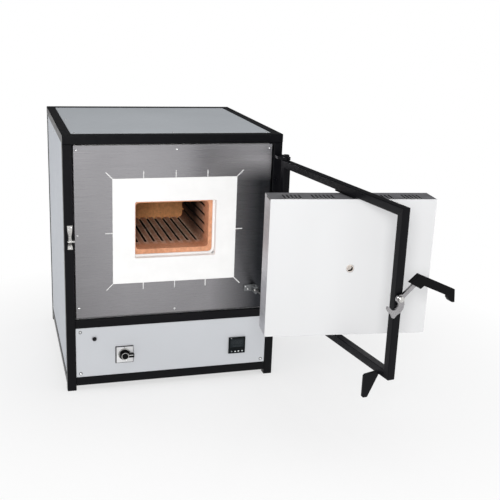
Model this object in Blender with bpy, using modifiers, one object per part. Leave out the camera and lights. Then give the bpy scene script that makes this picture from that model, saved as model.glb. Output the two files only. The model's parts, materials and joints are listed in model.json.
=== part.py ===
"""Bench kiln for pottery: a square-tube cabinet round a ceramic muffle, with an insulated door
leaf that hangs in a swinging frame and is kept facing the cabinet by a link rod.

One object for each sub-part, in metres, +Z up.  Cabinet coordinates start at the front lower
left corner of the cabinet: X to the right, Y to the rear.  The kiln is shown with its door
open, and its root empty moves it so that its box is centred over the world origin.
"""
import math

import bmesh
import bpy
from mathutils import Matrix, Vector

# ---------------------------------------------------------------- driving dimensions, metres
GAP = 0.0003                      # between pieces that touch
WIDTH = 0.600
DEPTH = 0.590
HEIGHT = 0.720
TUBE = 0.025                      # cabinet frame tube
TUBE_WALL = 0.0015
TUBE_CORNER = 0.0022
SHEET = 0.0012                    # folded panels
SHEET_FOLD = 0.012
PANEL_RECESS = 0.0015             # panels sit this far inside the tube faces
FOOT_THICKNESS = 0.003

BOTTOM_RAIL_Z = 0.014             # underside of the bottom rails
MID_RAIL_Z = 0.185                # underside of the rail between control panel and chamber
PLATE_Y = 0.006                   # front face of the steel front plate
PLATE_THICKNESS = 0.0015
PLATE_MARGIN = 0.0035             # dark gap round the front plate

MOUTH_X = 0.3033                  # middle of the opening in the fibre collar
MOUTH_Z = 0.458
MOUTH_WIDTH = 0.2266
MOUTH_HEIGHT = 0.159
COLLAR_X = 0.3015
COLLAR_Z = 0.455
COLLAR_WIDTH = 0.345
COLLAR_HEIGHT = 0.295
COLLAR_PROUD = 0.001
SLIT_LENGTH = 0.020
SLIT_WIDTH = 0.003
SLIT_PITCH = 0.0885

MUFFLE_Y = 0.026                  # front rim of the muffle
MUFFLE_LENGTH = 0.366
CHAMBER_X = 0.2973                # middle of the muffle's chamber
CHAMBER_Z = 0.464
CHAMBER_WIDTH = 0.2054
CHAMBER_HEIGHT = 0.132
CHAMBER_LENGTH = 0.347
MUFFLE_WALL = 0.0105
MUFFLE_FLOOR = 0.0135
MUFFLE_CORNER = 0.010
PACKING_BACK = 0.040              # fibre packed round the muffle's front end
GROOVE_WIDTH = 0.008
GROOVE_DEPTH = 0.005
GROOVE_PITCH = 0.0246
FLOOR_GROOVE_Y = 0.098            # where the grooves start
SIDE_GROOVE_Y = 0.072
SIDE_GROOVE_PITCH = 0.0267
CAVITY_GAP = 0.0082               # round the muffle, for the heating wire
WIRE_RADIUS = 0.0022
WIRE_TURNS = 13

HINGE_X = 0.598                   # axis of the swinging door frame
HINGE_Y = -0.040
FRAME_TUBE = 0.020
FRAME_REACH = 0.571               # hinge axis to the face of the free end
FRAME_BACK = -0.010
FRAME_LOW = 0.248
FRAME_HIGH = 0.654
OPEN_ANGLE = math.radians(98.3)   # door frame open, from closed

LEAF_PIVOT = 0.3124               # hinge axis to the leaf's pivot, along the frame
LEAF_YAW = math.radians(-7.0)     # the leaf, as shown
LEAF_WIDTH = 0.408
LEAF_THICKNESS = 0.070
LEAF_LOW = 0.286
LEAF_HIGH = 0.6295
LEAF_MID_X = 0.0094               # middle of the leaf, from its pivot
LEAF_MID_Y = -0.027
SIGHT_Z = 0.4576
VENT_FRONT = -0.0550              # the slots in the leaf's top
VENT_BACK = -0.0150
VENT_PITCH = 0.0096
PLUG_WIDTH = 0.344
PLUG_BACK = 0.044

LINK_ANCHOR = (0.535, -0.016)     # link rod's axis on the cabinet
LINK_EYE = (-0.0604, 0.0186)      # link pin on the leaf, from the leaf's pivot
LINK_LENGTH = 0.3109
LINK_CLOSED = math.radians(180.95)
LINK_LOW = 0.272
LINK_HIGH = 0.2775
LINK_SLACK = 0.0017               # clearance of the eye on the leaf's pin

LATCH_Z = 0.448
PANEL_FACE_Y = 0.002              # control panel
SWITCH_AT = (0.1588, 0.1002)
SWITCH_PLATE = 0.052
KNOB_RADIUS = 0.0145
CONTROLLER_AT = (0.4885, 0.1000)
BUTTON_AT = (0.076, 0.152)
KEY_Z = 0.0820
SENSOR_Z = 0.500
LEAD_LOW = 0.366                  # heights of the heating wire's two leads
LEAD_X = 0.300                    # of the leads and of the thermocouple above them

# ---------------------------------------------------------------- turns of a flat outline
FLAT = (0.0, 0.0, 0.0)
FRONT = (math.pi / 2, 0.0, 0.0)             # outline in X and Z, its face to the front
REAR = (-math.pi / 2, 0.0, 0.0)
SIDE = (math.pi / 2, 0.0, math.pi / 2)      # outline in Y and Z
LEFT = (0.0, -math.pi / 2, 0.0)
RIGHT = (0.0, math.pi / 2, 0.0)
SMOOTH_BELOW = math.radians(35)

# ---------------------------------------------------------------- finishes: colour, roughness, metallic
BLACK_PAINT = ((0.012, 0.012, 0.014), 0.45, 0.0)
GREY_PAINT = ((0.55, 0.57, 0.60), 0.40, 0.0)
WHITE_PAINT = ((0.86, 0.86, 0.86), 0.35, 0.0)
STEEL = ((0.36, 0.36, 0.38), 0.35, 1.0)
BRIGHT_STEEL = ((0.72, 0.71, 0.69), 0.18, 1.0)
FIBRE = ((0.93, 0.92, 0.91), 0.95, 0.0)
TERRACOTTA = ((0.72, 0.38, 0.22), 0.85, 0.0)
SIGHT_CERAMIC = ((0.86, 0.74, 0.66), 0.70, 0.0)
HEATING_WIRE = ((0.25, 0.22, 0.20), 0.55, 1.0)
BLACK_PLASTIC = ((0.015, 0.015, 0.016), 0.40, 0.0)
GREY_PLASTIC = ((0.20, 0.20, 0.21), 0.45, 0.0)
LIGHT_PLASTIC = ((0.62, 0.62, 0.62), 0.45, 0.0)


def new_collection(name):
    collection = bpy.data.collections.new(name)
    bpy.context.scene.collection.children.link(collection)
    return collection


for leftover in list(bpy.data.objects):
    bpy.data.objects.remove(leftover)
PARTS = new_collection("pottery_kiln")
CUTTERS = new_collection("cutters")


# ---------------------------------------------------------------- placing objects
def own_material(name, colour, roughness, metallic):
    made = bpy.data.materials.new(name)
    made.use_nodes = True
    shader = made.node_tree.nodes["Principled BSDF"]
    shader.inputs["Base Color"].default_value = (*colour, 1.0)
    shader.inputs["Roughness"].default_value = roughness
    shader.inputs["Metallic"].default_value = metallic
    return made


def put(name, mesh, collection, parent, location, rotation):
    obj = bpy.data.objects.new(name, mesh)
    collection.objects.link(obj)
    obj.parent = parent
    obj.location = location
    obj.rotation_euler = rotation
    return obj


def add_part(name, mesh, finish, parent, location=(0.0, 0.0, 0.0), rotation=FLAT):
    mesh.materials.clear()
    mesh.materials.append(own_material(name, *finish))
    mesh.shade_smooth()
    mesh.set_sharp_from_angle(angle=SMOOTH_BELOW)
    return put(name, mesh, PARTS, parent, location, rotation)


def add_empty(name, parent, location, turn=0.0):
    return put(name, None, PARTS, parent, location, (0.0, 0.0, turn))


def combine(obj, operation, name, mesh, location=(0.0, 0.0, 0.0), rotation=FLAT):
    """Cut a shape out of obj, or join it on.  The shape is placed beside obj, under its parent."""
    tool = put(f"{obj.name}_{name}", mesh, CUTTERS, obj.parent, location, rotation)
    tool.hide_render = True
    tool.display_type = "WIRE"
    modifier = obj.modifiers.new(name, "BOOLEAN")
    modifier.operation = operation
    modifier.solver = "EXACT"
    modifier.object = tool


def cut(obj, name, mesh, location=(0.0, 0.0, 0.0), rotation=FLAT):
    combine(obj, "DIFFERENCE", name, mesh, location, rotation)


def join(obj, name, mesh, location=(0.0, 0.0, 0.0), rotation=FLAT):
    combine(obj, "UNION", name, mesh, location, rotation)


# ---------------------------------------------------------------- shapes
def mesh_from(build):
    """A mesh filled in by a function that takes a bmesh."""
    form = bmesh.new()
    build(form)
    mesh = bpy.data.meshes.new("shape")
    form.to_mesh(mesh)
    form.free()
    return mesh


def block(width, depth, height, edge=0.0, segments=2):
    """A box about its own middle, with all its edges rounded when edge isn't 0."""
    def build(form):
        bmesh.ops.create_cube(form, size=1.0)
        bmesh.ops.scale(form, vec=(width, depth, height), verts=form.verts)
        if edge:
            bmesh.ops.bevel(form, geom=form.edges[:], offset=edge, segments=segments,
                            profile=0.5, affect="EDGES")
    return mesh_from(build)


def blocks(boxes):
    """Several separate boxes in one mesh, for cutting.  Each is its low and high corner."""
    def build(form):
        for low, high in boxes:
            size = Vector(high) - Vector(low)
            middle = (Vector(high) + Vector(low)) / 2
            made = bmesh.ops.create_cube(form, size=1.0)["verts"]
            bmesh.ops.scale(form, vec=size, verts=made)
            bmesh.ops.translate(form, vec=middle, verts=made)
    return mesh_from(build)


def rod(radius, length, segments=24):
    """A cylinder along Z about its own middle."""
    def build(form):
        bmesh.ops.create_cone(form, cap_ends=True, segments=segments, radius1=radius,
                              radius2=radius, depth=length)
    return mesh_from(build)


def add_block(name, low, high, finish, parent, edge=0.0):
    low, high = Vector(low), Vector(high)
    return add_part(name, block(*(high - low), edge), finish, parent, (low + high) / 2)


def arc(centre_u, centre_v, radius, start, end, steps):
    """Points on an arc, angles in degrees."""
    points = []
    for step in range(steps + 1):
        angle = math.radians(start + (end - start) * step / steps)
        points.append((centre_u + radius * math.cos(angle), centre_v + radius * math.sin(angle)))
    return points


def circle(centre_u, centre_v, radius, steps=20):
    return arc(centre_u, centre_v, radius, 0.0, 360.0, steps)[:-1]


def rounded_rectangle(width, height, radius, centre_u=0.0, centre_v=0.0, steps=3):
    points = []
    corners = ((1, 1, 0), (-1, 1, 90), (-1, -1, 180), (1, -1, 270))
    for side_u, side_v, start in corners:
        u = centre_u + side_u * (width / 2 - radius)
        v = centre_v + side_v * (height / 2 - radius)
        points.extend(arc(u, v, radius, start, start + 90, steps))
    return points


def mesh_from_curve(curve):
    """The closed mesh of a curve, its caps welded on."""
    holder = bpy.data.objects.new("curve", curve)
    CUTTERS.objects.link(holder)
    graph = bpy.context.evaluated_depsgraph_get()
    mesh = bpy.data.meshes.new_from_object(holder.evaluated_get(graph))
    bpy.data.objects.remove(holder)
    bpy.data.curves.remove(curve)
    form = bmesh.new()
    form.from_mesh(mesh)
    bmesh.ops.remove_doubles(form, verts=form.verts, dist=0.00001)
    bmesh.ops.recalc_face_normals(form, faces=form.faces)
    form.to_mesh(mesh)
    form.free()
    return mesh


def slab(loops, thickness):
    """A flat outline with its holes, thickened equally to both sides."""
    curve = bpy.data.curves.new("outline", "CURVE")
    curve.dimensions = "2D"
    curve.fill_mode = "BOTH"
    curve.extrude = thickness / 2
    for loop in loops:
        spline = curve.splines.new("POLY")
        spline.points.add(len(loop) - 1)
        for point, (u, v) in zip(spline.points, loop):
            point.co = (u, v, 0.0, 1.0)
        spline.use_cyclic_u = True
    return mesh_from_curve(curve)


def wire(points, radius):
    curve = bpy.data.curves.new("wire", "CURVE")
    curve.dimensions = "3D"
    curve.bevel_depth = radius
    curve.bevel_resolution = 2
    curve.use_fill_caps = True
    spline = curve.splines.new("POLY")
    spline.points.add(len(points) - 1)
    for point, place in zip(spline.points, points):
        point.co = (*place, 1.0)
    return mesh_from_curve(curve)


def profile_line(points, closed):
    """The edges of a profile in X and Z, to be turned about Z."""
    def build(form):
        verts = [form.verts.new((radius, 0.0, height)) for radius, height in points]
        pairs = list(zip(verts, verts[1:]))
        if closed:
            pairs.append((verts[-1], verts[0]))
        for pair in pairs:
            form.edges.new(pair)
    return mesh_from(build)


def add_turned(name, points, closed, finish, parent, location, rotation=FLAT, steps=24):
    """A turned part.  Its profile runs down the outer side, top to bottom."""
    obj = add_part(name, profile_line(points, closed), finish, parent, location, rotation)
    screw = obj.modifiers.new("turn", "SCREW")
    screw.steps = steps
    screw.render_steps = steps
    screw.use_merge_vertices = True
    screw.merge_threshold = 0.00001
    screw.use_smooth_shade = True
    return obj


def add_tray(name, size, sheet, finish, parent, location, rotation):
    """Folded sheet: a shallow box with its face at +Z and its underside open."""
    mesh = block(*size)
    form = bmesh.new()
    form.from_mesh(mesh)
    underside = min(form.faces, key=lambda face: face.calc_center_median().z)
    bmesh.ops.delete(form, geom=[underside], context="FACES")
    form.to_mesh(mesh)
    form.free()
    obj = add_part(name, mesh, finish, parent, location, rotation)
    thickness = obj.modifiers.new("sheet", "SOLIDIFY")
    thickness.thickness = sheet
    thickness.offset = -1.0
    thickness.use_even_offset = True
    return obj


def tube_section(size):
    hollow = size - 2 * TUBE_WALL
    return [rounded_rectangle(size, size, TUBE_CORNER),
            rounded_rectangle(hollow, hollow, TUBE_CORNER / 2, steps=1)]


def tube(length, size, mitred):
    """Square tube along X from 0 to its length.  Its mitred ends lean in towards +Y."""
    mesh = slab(tube_section(size), length)
    along = Matrix.Rotation(math.pi / 2, 4, "Y")
    mesh.transform(Matrix.Translation((length / 2, 0.0, 0.0)) @ along)
    if mitred:
        for vertex in mesh.vertices:
            lean = vertex.co.y + size / 2 + GAP
            vertex.co.x += lean if vertex.co.x < length / 2 else -lean
    return mesh


def add_tube_ring(names, width, height, size, finish, parent, base):
    """Four mitred tubes round a rectangle that starts at the origin of base, anticlockwise."""
    corners = ((0.0, 0.0), (width, 0.0), (width, height), (0.0, height))
    made = []
    for index, (name, corner) in enumerate(zip(names, corners)):
        length = (width, height)[index % 2]
        turn = Matrix.Rotation(index * math.pi / 2, 4, "Z")
        place = base @ Matrix.Translation((*corner, 0.0)) @ turn
        place = place @ Matrix.Translation((0.0, size / 2, 0.0))
        obj = add_part(name, tube(length, size, True), finish, parent)
        obj.location = place.to_translation()
        obj.rotation_euler = place.to_euler()
        made.append(obj)
    return made


# ---------------------------------------------------------------- cabinet frame and panels
def build_cabinet_frame(root):
    upright_top = HEIGHT - TUBE - GAP
    middles = {
        "front_left": (TUBE / 2, TUBE / 2), "front_right": (WIDTH - TUBE / 2, TUBE / 2),
        "rear_left": (TUBE / 2, DEPTH - TUBE / 2),
        "rear_right": (WIDTH - TUBE / 2, DEPTH - TUBE / 2)}
    outer, inner = tube_section(TUBE)
    for corner, (x, y) in middles.items():
        upright = add_part(f"frame_upright_{corner}", slab([outer], upright_top), BLACK_PAINT,
                           root, (x, y, upright_top / 2))
        cut(upright, "bore", slab([inner], upright_top), (x, y, upright_top / 2 + FOOT_THICKNESS))
    names = [f"top_rail_{side}" for side in ("front", "right", "rear", "left")]
    base = Matrix.Translation((0.0, 0.0, HEIGHT - TUBE / 2))
    add_tube_ring(names, WIDTH, DEPTH, TUBE, BLACK_PAINT, root, base)
    across = WIDTH - 2 * (TUBE + GAP)
    along = DEPTH - 2 * (TUBE + GAP)
    rails = (("mid_rail_front", across, (TUBE + GAP, TUBE / 2, MID_RAIL_Z), 0.0),
             ("bottom_rail_front", across, (TUBE + GAP, TUBE / 2, BOTTOM_RAIL_Z), 0.0),
             ("bottom_rail_rear", across, (TUBE + GAP, DEPTH - TUBE / 2, BOTTOM_RAIL_Z), 0.0),
             ("bottom_rail_left", along, (TUBE / 2, TUBE + GAP, BOTTOM_RAIL_Z), math.pi / 2),
             ("bottom_rail_right", along, (WIDTH - TUBE / 2, TUBE + GAP, BOTTOM_RAIL_Z),
              math.pi / 2))
    for name, length, (x, y, underside), turn in rails:
        add_part(name, tube(length, TUBE, False), BLACK_PAINT, root,
                 (x, y, underside + TUBE / 2), (0.0, 0.0, turn))


def build_panels(root):
    inside = TUBE + GAP
    across = WIDTH - 2 * inside
    along = DEPTH - 2 * inside
    low = BOTTOM_RAIL_Z + TUBE + GAP
    tall = HEIGHT - TUBE - GAP - low
    middle_z = low + tall / 2
    set_back = PANEL_RECESS + SHEET_FOLD / 2
    add_tray("top_panel", (across, along, SHEET_FOLD), SHEET, GREY_PAINT, root,
             (WIDTH / 2, DEPTH / 2, HEIGHT - set_back), FLAT)
    add_tray("left_panel", (tall, along, SHEET_FOLD), SHEET, GREY_PAINT, root,
             (set_back, DEPTH / 2, middle_z), LEFT)
    add_tray("right_panel", (tall, along, SHEET_FOLD), SHEET, GREY_PAINT, root,
             (WIDTH - set_back, DEPTH / 2, middle_z), RIGHT)
    rear = add_tray("rear_panel", (across, tall, SHEET_FOLD), SHEET, GREY_PAINT, root,
                    (WIDTH / 2, DEPTH - set_back, middle_z), REAR)
    vents = []
    for row_z in (0.100, 0.120, 0.140, 0.600, 0.620, 0.640):
        for vent_x in (0.180, 0.300, 0.420):
            vents.append(((vent_x - 0.040, DEPTH - 0.010, row_z),
                          (vent_x + 0.040, DEPTH + 0.010, row_z + 0.005)))
    cut(rear, "vents", blocks(vents))
    cut(rear, "gland_hole", rod(0.0093, 0.030), (0.520, DEPTH, 0.090), FRONT)
    add_tray("base_plate", (across, along, SHEET_FOLD), SHEET, STEEL, root,
             (WIDTH / 2, DEPTH / 2, 0.038 - SHEET_FOLD / 2), FLAT)
    add_block("deck_plate", (inside, PLATE_Y + PLATE_THICKNESS + GAP, MID_RAIL_Z + TUBE + GAP),
              (WIDTH - inside, DEPTH - TUBE - GAP, MID_RAIL_Z + TUBE + GAP + SHEET), STEEL, root)


def build_front_plate(root):
    left = TUBE + PLATE_MARGIN
    low = MID_RAIL_Z + TUBE + PLATE_MARGIN
    high = HEIGHT - TUBE - PLATE_MARGIN
    outline = [(left, low), (WIDTH - left, low), (WIDTH - left, high), (left, high)]
    hole = rounded_rectangle(COLLAR_WIDTH + 2 * GAP, COLLAR_HEIGHT + 2 * GAP, 0.001,
                             COLLAR_X, COLLAR_Z, steps=1)
    plate = add_part("front_plate", slab([outline, hole], PLATE_THICKNESS), STEEL, root,
                     (0.0, PLATE_Y + PLATE_THICKNESS / 2, 0.0), FRONT)
    cut(plate, "slits", expansion_slits(), (COLLAR_X, PLATE_Y, COLLAR_Z))


def expansion_slits():
    """Straight slits out of the middle of each side, and one at 45 degrees from each corner."""
    half_width = COLLAR_WIDTH / 2
    half_height = COLLAR_HEIGHT / 2
    starts = [(offset, side * half_height, side * 90) for side in (-1, 1)
              for offset in (-SLIT_PITCH, 0.0, SLIT_PITCH)]
    starts += [(-half_width, -0.003, 180), (half_width, -0.003, 0)]
    starts += [(u * half_width, v * half_height, math.degrees(math.atan2(v, u)))
               for u in (-1, 1) for v in (-1, 1)]

    def build(form):
        for x, z, angle in starts:
            length = 2 * SLIT_LENGTH if abs(angle) % 90 == 0 else 2 * 1.25 * SLIT_LENGTH
            made = bmesh.ops.create_cube(form, size=1.0)["verts"]
            bmesh.ops.scale(form, vec=(length, 0.010, SLIT_WIDTH), verts=made)
            bmesh.ops.rotate(form, cent=(0, 0, 0), verts=made,
                             matrix=Matrix.Rotation(math.radians(-angle), 3, "Y"))
            bmesh.ops.translate(form, vec=(x, 0.0, z), verts=made)
    return mesh_from(build)


# ---------------------------------------------------------------- chamber
def muffle_box():
    """Low and high corner of the muffle's outer shape."""
    half_width = CHAMBER_WIDTH / 2 + MUFFLE_WALL
    low = CHAMBER_Z - CHAMBER_HEIGHT / 2 - MUFFLE_FLOOR
    high = CHAMBER_Z + CHAMBER_HEIGHT / 2 + MUFFLE_WALL
    return (Vector((CHAMBER_X - half_width, MUFFLE_Y, low)),
            Vector((CHAMBER_X + half_width, MUFFLE_Y + MUFFLE_LENGTH, high)))


def build_collar(root):
    boss_front = PLATE_Y - COLLAR_PROUD
    board_front = PLATE_Y + PLATE_THICKNESS + GAP
    back = MUFFLE_Y - GAP
    board = rounded_rectangle(0.410, 0.370, 0.002, COLLAR_X, COLLAR_Z, steps=1)
    boss = rounded_rectangle(COLLAR_WIDTH, COLLAR_HEIGHT, 0.001, COLLAR_X, COLLAR_Z, steps=1)
    opening = rounded_rectangle(MOUTH_WIDTH, MOUTH_HEIGHT, 0.004, MOUTH_X, MOUTH_Z, steps=2)
    collar = add_part("fibre_collar", slab([board], back - board_front), FIBRE, root,
                      (0.0, (back + board_front) / 2, 0.0), FRONT)
    join(collar, "boss", slab([boss], back - boss_front - 0.001),
         (0.0, (back + boss_front - 0.001) / 2, 0.0), FRONT)
    cut(collar, "mouth", slab([opening], 0.060), (0.0, MUFFLE_Y, 0.0), FRONT)
    low, high = muffle_box()
    size = high - low
    middle = (low + high) / 2
    loops = [rounded_rectangle(size.x + 2 * room, size.z + 2 * room, MUFFLE_CORNER + room,
                               middle.x, middle.z) for room in (CAVITY_GAP - GAP, GAP)]
    packing_front = back - 0.002
    join(collar, "packing", slab(loops, PACKING_BACK - packing_front),
         (0.0, (PACKING_BACK + packing_front) / 2, 0.0), FRONT)


def groove_boxes():
    """Lengthwise grooves in the floor, roof and both sides of the chamber, to its back wall."""
    back = MUFFLE_Y + CHAMBER_LENGTH - GAP
    half = GROOVE_WIDTH / 2
    floor = CHAMBER_Z - CHAMBER_HEIGHT / 2
    roof = CHAMBER_Z + CHAMBER_HEIGHT / 2
    boxes = []
    for index in range(8):
        x = CHAMBER_X + (index - 3.5) * GROOVE_PITCH
        for low, high in ((floor - GROOVE_DEPTH, floor + 0.002), (roof - 0.002, roof + GROOVE_DEPTH)):
            boxes.append(((x - half, FLOOR_GROOVE_Y, low), (x + half, back, high)))
    left = CHAMBER_X - CHAMBER_WIDTH / 2
    right = CHAMBER_X + CHAMBER_WIDTH / 2
    for index in range(4):
        z = CHAMBER_Z + (index - 1.5) * SIDE_GROOVE_PITCH
        for low, high in ((left - GROOVE_DEPTH, left + 0.002), (right - 0.002, right + GROOVE_DEPTH)):
            boxes.append(((low, SIDE_GROOVE_Y, z - half), (high, back, z + half)))
    return boxes


def build_muffle(root):
    low, high = muffle_box()
    size = high - low
    outline = rounded_rectangle(size.x, size.z, MUFFLE_CORNER, CHAMBER_X, (low.z + high.z) / 2)
    chamber = rounded_rectangle(CHAMBER_WIDTH, CHAMBER_HEIGHT, 0.010, CHAMBER_X, CHAMBER_Z)
    middle_y = (low.y + high.y) / 2
    muffle = add_part("muffle", slab([outline], size.y), TERRACOTTA, root,
                      (0.0, middle_y, 0.0), FRONT)
    cut(muffle, "chamber", slab([chamber], 2 * CHAMBER_LENGTH), (0.0, MUFFLE_Y, 0.0), FRONT)
    cut(muffle, "grooves", blocks(groove_boxes()))
    cut(muffle, "sensor_hole", rod(0.0045, 0.060), (LEAD_X, high.y, SENSOR_Z), FRONT)


def build_insulation(root):
    low, high = muffle_box()
    side_low, side_high = 0.030, WIDTH - 0.030
    bottom = MID_RAIL_Z + TUBE + SHEET + 2 * GAP
    top = 0.690
    back = high.y + CAVITY_GAP + 0.0015
    floor = low.z - CAVITY_GAP
    roof = high.z + CAVITY_GAP
    left = low.x - CAVITY_GAP
    right = high.x + CAVITY_GAP
    lead_half = 0.006
    lead_high = floor + CAVITY_GAP / 2 + lead_half
    base = add_block("insulation_bottom", (side_low, low.y, bottom), (side_high, back, floor),
                     FIBRE, root)
    cut(base, "lead_channel", blocks([((LEAD_X - lead_half, 0.040, LEAD_LOW - 0.006),
                                       (LEAD_X + lead_half, back + 0.010, floor + 0.010))]))
    add_block("insulation_top", (side_low, low.y, roof), (side_high, back, top), FIBRE, root)
    add_block("insulation_left", (side_low, low.y, floor + GAP), (left, back, roof - GAP),
              FIBRE, root)
    add_block("insulation_right", (right, low.y, floor + GAP), (side_high, back, roof - GAP),
              FIBRE, root)
    rear = add_block("insulation_rear", (side_low, back + GAP, bottom), (side_high, 0.540, top),
                     FIBRE, root)
    cut(rear, "sensor_hole", rod(0.0045, 0.300), (LEAD_X, 0.470, SENSOR_Z), FRONT)
    cut(rear, "lead_hole", blocks([((LEAD_X - lead_half, 0.380, LEAD_LOW - 0.006),
                                    (LEAD_X + lead_half, 0.560, lead_high))]))


def heating_wire_points(lead_end):
    """Two leads from the rear, joined by rectangular turns round the muffle."""
    low, high = muffle_box()
    off = CAVITY_GAP / 2
    left, right = low.x - off, high.x + off
    floor, roof = low.z - off, high.z + off
    bend = 0.006
    ring = [(LEAD_X, floor), (right - bend, floor), (right, floor + bend), (right, roof - bend),
            (right - bend, roof), (left + bend, roof), (left, roof - bend), (left, floor + bend),
            (left + bend, floor)]
    start = MUFFLE_Y + 0.024
    points = [(LEAD_X, lead_end, LEAD_LOW), (LEAD_X, start, LEAD_LOW)]
    for turn in range(WIRE_TURNS):
        for index, (x, z) in enumerate(ring):
            y = start + GROOVE_PITCH * (turn + index / len(ring))
            points.append((x, y, z))
    points.append((LEAD_X, start + GROOVE_PITCH * WIRE_TURNS, floor))
    points.append((LEAD_X, lead_end, floor))
    return points


def build_heating(root):
    low, high = muffle_box()
    lead_end = 0.552
    add_part("heating_element", wire(heating_wire_points(lead_end), WIRE_RADIUS), HEATING_WIRE,
             root)
    upper_lead = low.z - CAVITY_GAP / 2
    terminals = add_block("terminal_block", (LEAD_X - 0.022, 0.5403, 0.348),
                          (LEAD_X + 0.022, 0.566, 0.392), SIGHT_CERAMIC, root, 0.001)
    for name, height in (("lower_hole", LEAD_LOW), ("upper_hole", upper_lead)):
        cut(terminals, name, rod(0.0028, 0.0130 * 2, 12), (LEAD_X, 0.5403, height), FRONT)
    sensor = [(0.0, 0.576), (0.010, 0.576), (0.012, 0.573), (0.012, 0.545), (0.015, 0.5445),
              (0.015, 0.5403), (0.004, 0.5403), (0.004, 0.376), (0.003, 0.374), (0.0, 0.374)]
    add_turned("thermocouple", sensor, False, BRIGHT_STEEL, root, (LEAD_X, 0.0, SENSOR_Z), REAR)


def build_electrics(root):
    fins = [(0.0, 0.0)]
    for index in range(7):
        start = index * 0.010
        fins += [(start, 0.045), (start + 0.003, 0.045), (start + 0.003, 0.012),
                 (start + 0.010, 0.012)]
    fins = fins[:-2] + [(0.063, 0.0)]
    add_part("solid_state_relay", slab([fins], 0.060), BRIGHT_STEEL, root,
             (0.270, 0.300, 0.038 + GAP), FRONT)
    gland = [(0.0045, 0.022), (0.009, 0.022), (0.011, 0.019), (0.011, 0.0065), (0.014, 0.006),
             (0.014, -0.0011), (0.009, -0.0011), (0.009, -0.014), (0.0045, -0.014)]
    add_turned("cable_gland", gland, True, BLACK_PLASTIC, root, (0.520, DEPTH, 0.090), REAR)


# ---------------------------------------------------------------- control panel
def build_control_panel(root):
    inside = TUBE + GAP
    low = BOTTOM_RAIL_Z + TUBE + GAP
    high = MID_RAIL_Z - GAP
    panel = add_tray("control_panel", (WIDTH - 2 * inside, high - low, SHEET_FOLD), SHEET,
                     GREY_PAINT, root,
                     (WIDTH / 2, PANEL_FACE_Y + SHEET_FOLD / 2, (low + high) / 2), FRONT)
    cut(panel, "controller_hole", block(0.0458, 0.030, 0.0458),
        (CONTROLLER_AT[0], 0.0, CONTROLLER_AT[1]))
    cut(panel, "switch_hole", block(0.0408, 0.030, 0.0408), (SWITCH_AT[0], 0.0, SWITCH_AT[1]))
    cut(panel, "button_hole", rod(0.0069, 0.030), (BUTTON_AT[0], 0.0, BUTTON_AT[1]), FRONT)
    build_controller(root)
    build_mains_switch(root)
    build_push_button(root)


def build_controller(root):
    x, z = CONTROLLER_AT
    back = PANEL_FACE_Y - GAP
    front = back - 0.005
    housing = add_block("controller_housing", (x - 0.025, front, z - 0.025),
                        (x + 0.025, back, z + 0.025), BLACK_PLASTIC, root, 0.0008)
    join(housing, "case", block(0.045, 0.080, 0.045), (x, back + 0.0395, z))
    cut(housing, "display", block(0.0415, 0.0024, 0.0275), (x, front, z + 0.0070))
    for index in range(4):
        key_x = x + (index - 1.5) * 0.0105
        cut(housing, f"pocket_{index + 1}", block(0.0088, 0.0064, 0.0066), (key_x, front, KEY_Z))
        add_block(f"controller_key_{index + 1}", (key_x - 0.0041, front - 0.001, KEY_Z - 0.003),
                  (key_x + 0.0041, front + 0.002, KEY_Z + 0.003), LIGHT_PLASTIC, root, 0.0005)


def build_mains_switch(root):
    x, z = SWITCH_AT
    back = PANEL_FACE_Y - GAP
    front = back - 0.004
    half = SWITCH_PLATE / 2
    housing = add_block("mains_switch_housing", (x - half, front, z - half),
                        (x + half, back, z + half), LIGHT_PLASTIC, root, 0.0008)
    join(housing, "case", block(0.040, 0.050, 0.040), (x, back + 0.0245, z))
    cut(housing, "shaft_hole", rod(0.0034, 0.020, 16), (x, front, z), FRONT)
    knob = add_part("mains_switch_knob", rod(KNOB_RADIUS, 0.005, 32), BLACK_PLASTIC, root,
                    (x, front - GAP - 0.0025, z), FRONT)
    join(knob, "bar", block(0.0400, 0.0130, 0.0110, 0.0015),
         (x + 0.020 - KNOB_RADIUS, front - 0.0100, z))
    join(knob, "shaft", rod(0.003, 0.010, 16), (x, front + 0.0020, z), FRONT)


def build_push_button(root):
    x, z = BUTTON_AT
    back = PANEL_FACE_Y - GAP
    bezel = [(0.0, -0.012), (0.0060, -0.012), (0.0060, 0.0006), (0.0070, 0.0006),
             (0.0077, 0.0), (0.0077, -back), (0.0066, -back), (0.0066, -0.024), (0.0, -0.024)]
    add_turned("push_button_bezel", bezel, False, BRIGHT_STEEL, root, (x, 0.0, z), FRONT)
    cap = [(0.0, 0.0034), (0.0048, 0.0034), (0.0057, 0.0026), (0.0057, -0.0050), (0.0, -0.0050)]
    add_turned("push_button", cap, False, GREY_PLASTIC, root, (x, 0.0, z), FRONT)


# ---------------------------------------------------------------- what the door hangs on and shuts against
def build_hinge_lugs(root):
    right = WIDTH
    outline = [(0.577, -GAP), (0.577, -0.028)]
    outline += arc(HINGE_X, HINGE_Y, 0.012, 180, 360, 10)
    outline += [(right - GAP, -GAP)]
    for name, low, high, pin_low, pin_high in (
            ("hinge_lug_upper", FRAME_HIGH + 0.001, FRAME_HIGH + 0.009, FRAME_HIGH - 0.018,
             FRAME_HIGH + 0.008),
            ("hinge_lug_lower", FRAME_LOW - 0.010, FRAME_LOW - 0.001, FRAME_LOW - 0.009,
             FRAME_LOW + 0.018)):
        lug = add_part(name, slab([outline], high - low), BLACK_PAINT, root,
                       (0.0, 0.0, (low + high) / 2))
        join(lug, "pin", rod(0.005, pin_high - pin_low), (HINGE_X, HINGE_Y, (pin_low + pin_high) / 2))
    upper = bpy.data.objects["hinge_lug_upper"]
    join(upper, "head", rod(0.0085, 0.0065, 6), (HINGE_X, HINGE_Y, FRAME_HIGH + 0.012))


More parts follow.
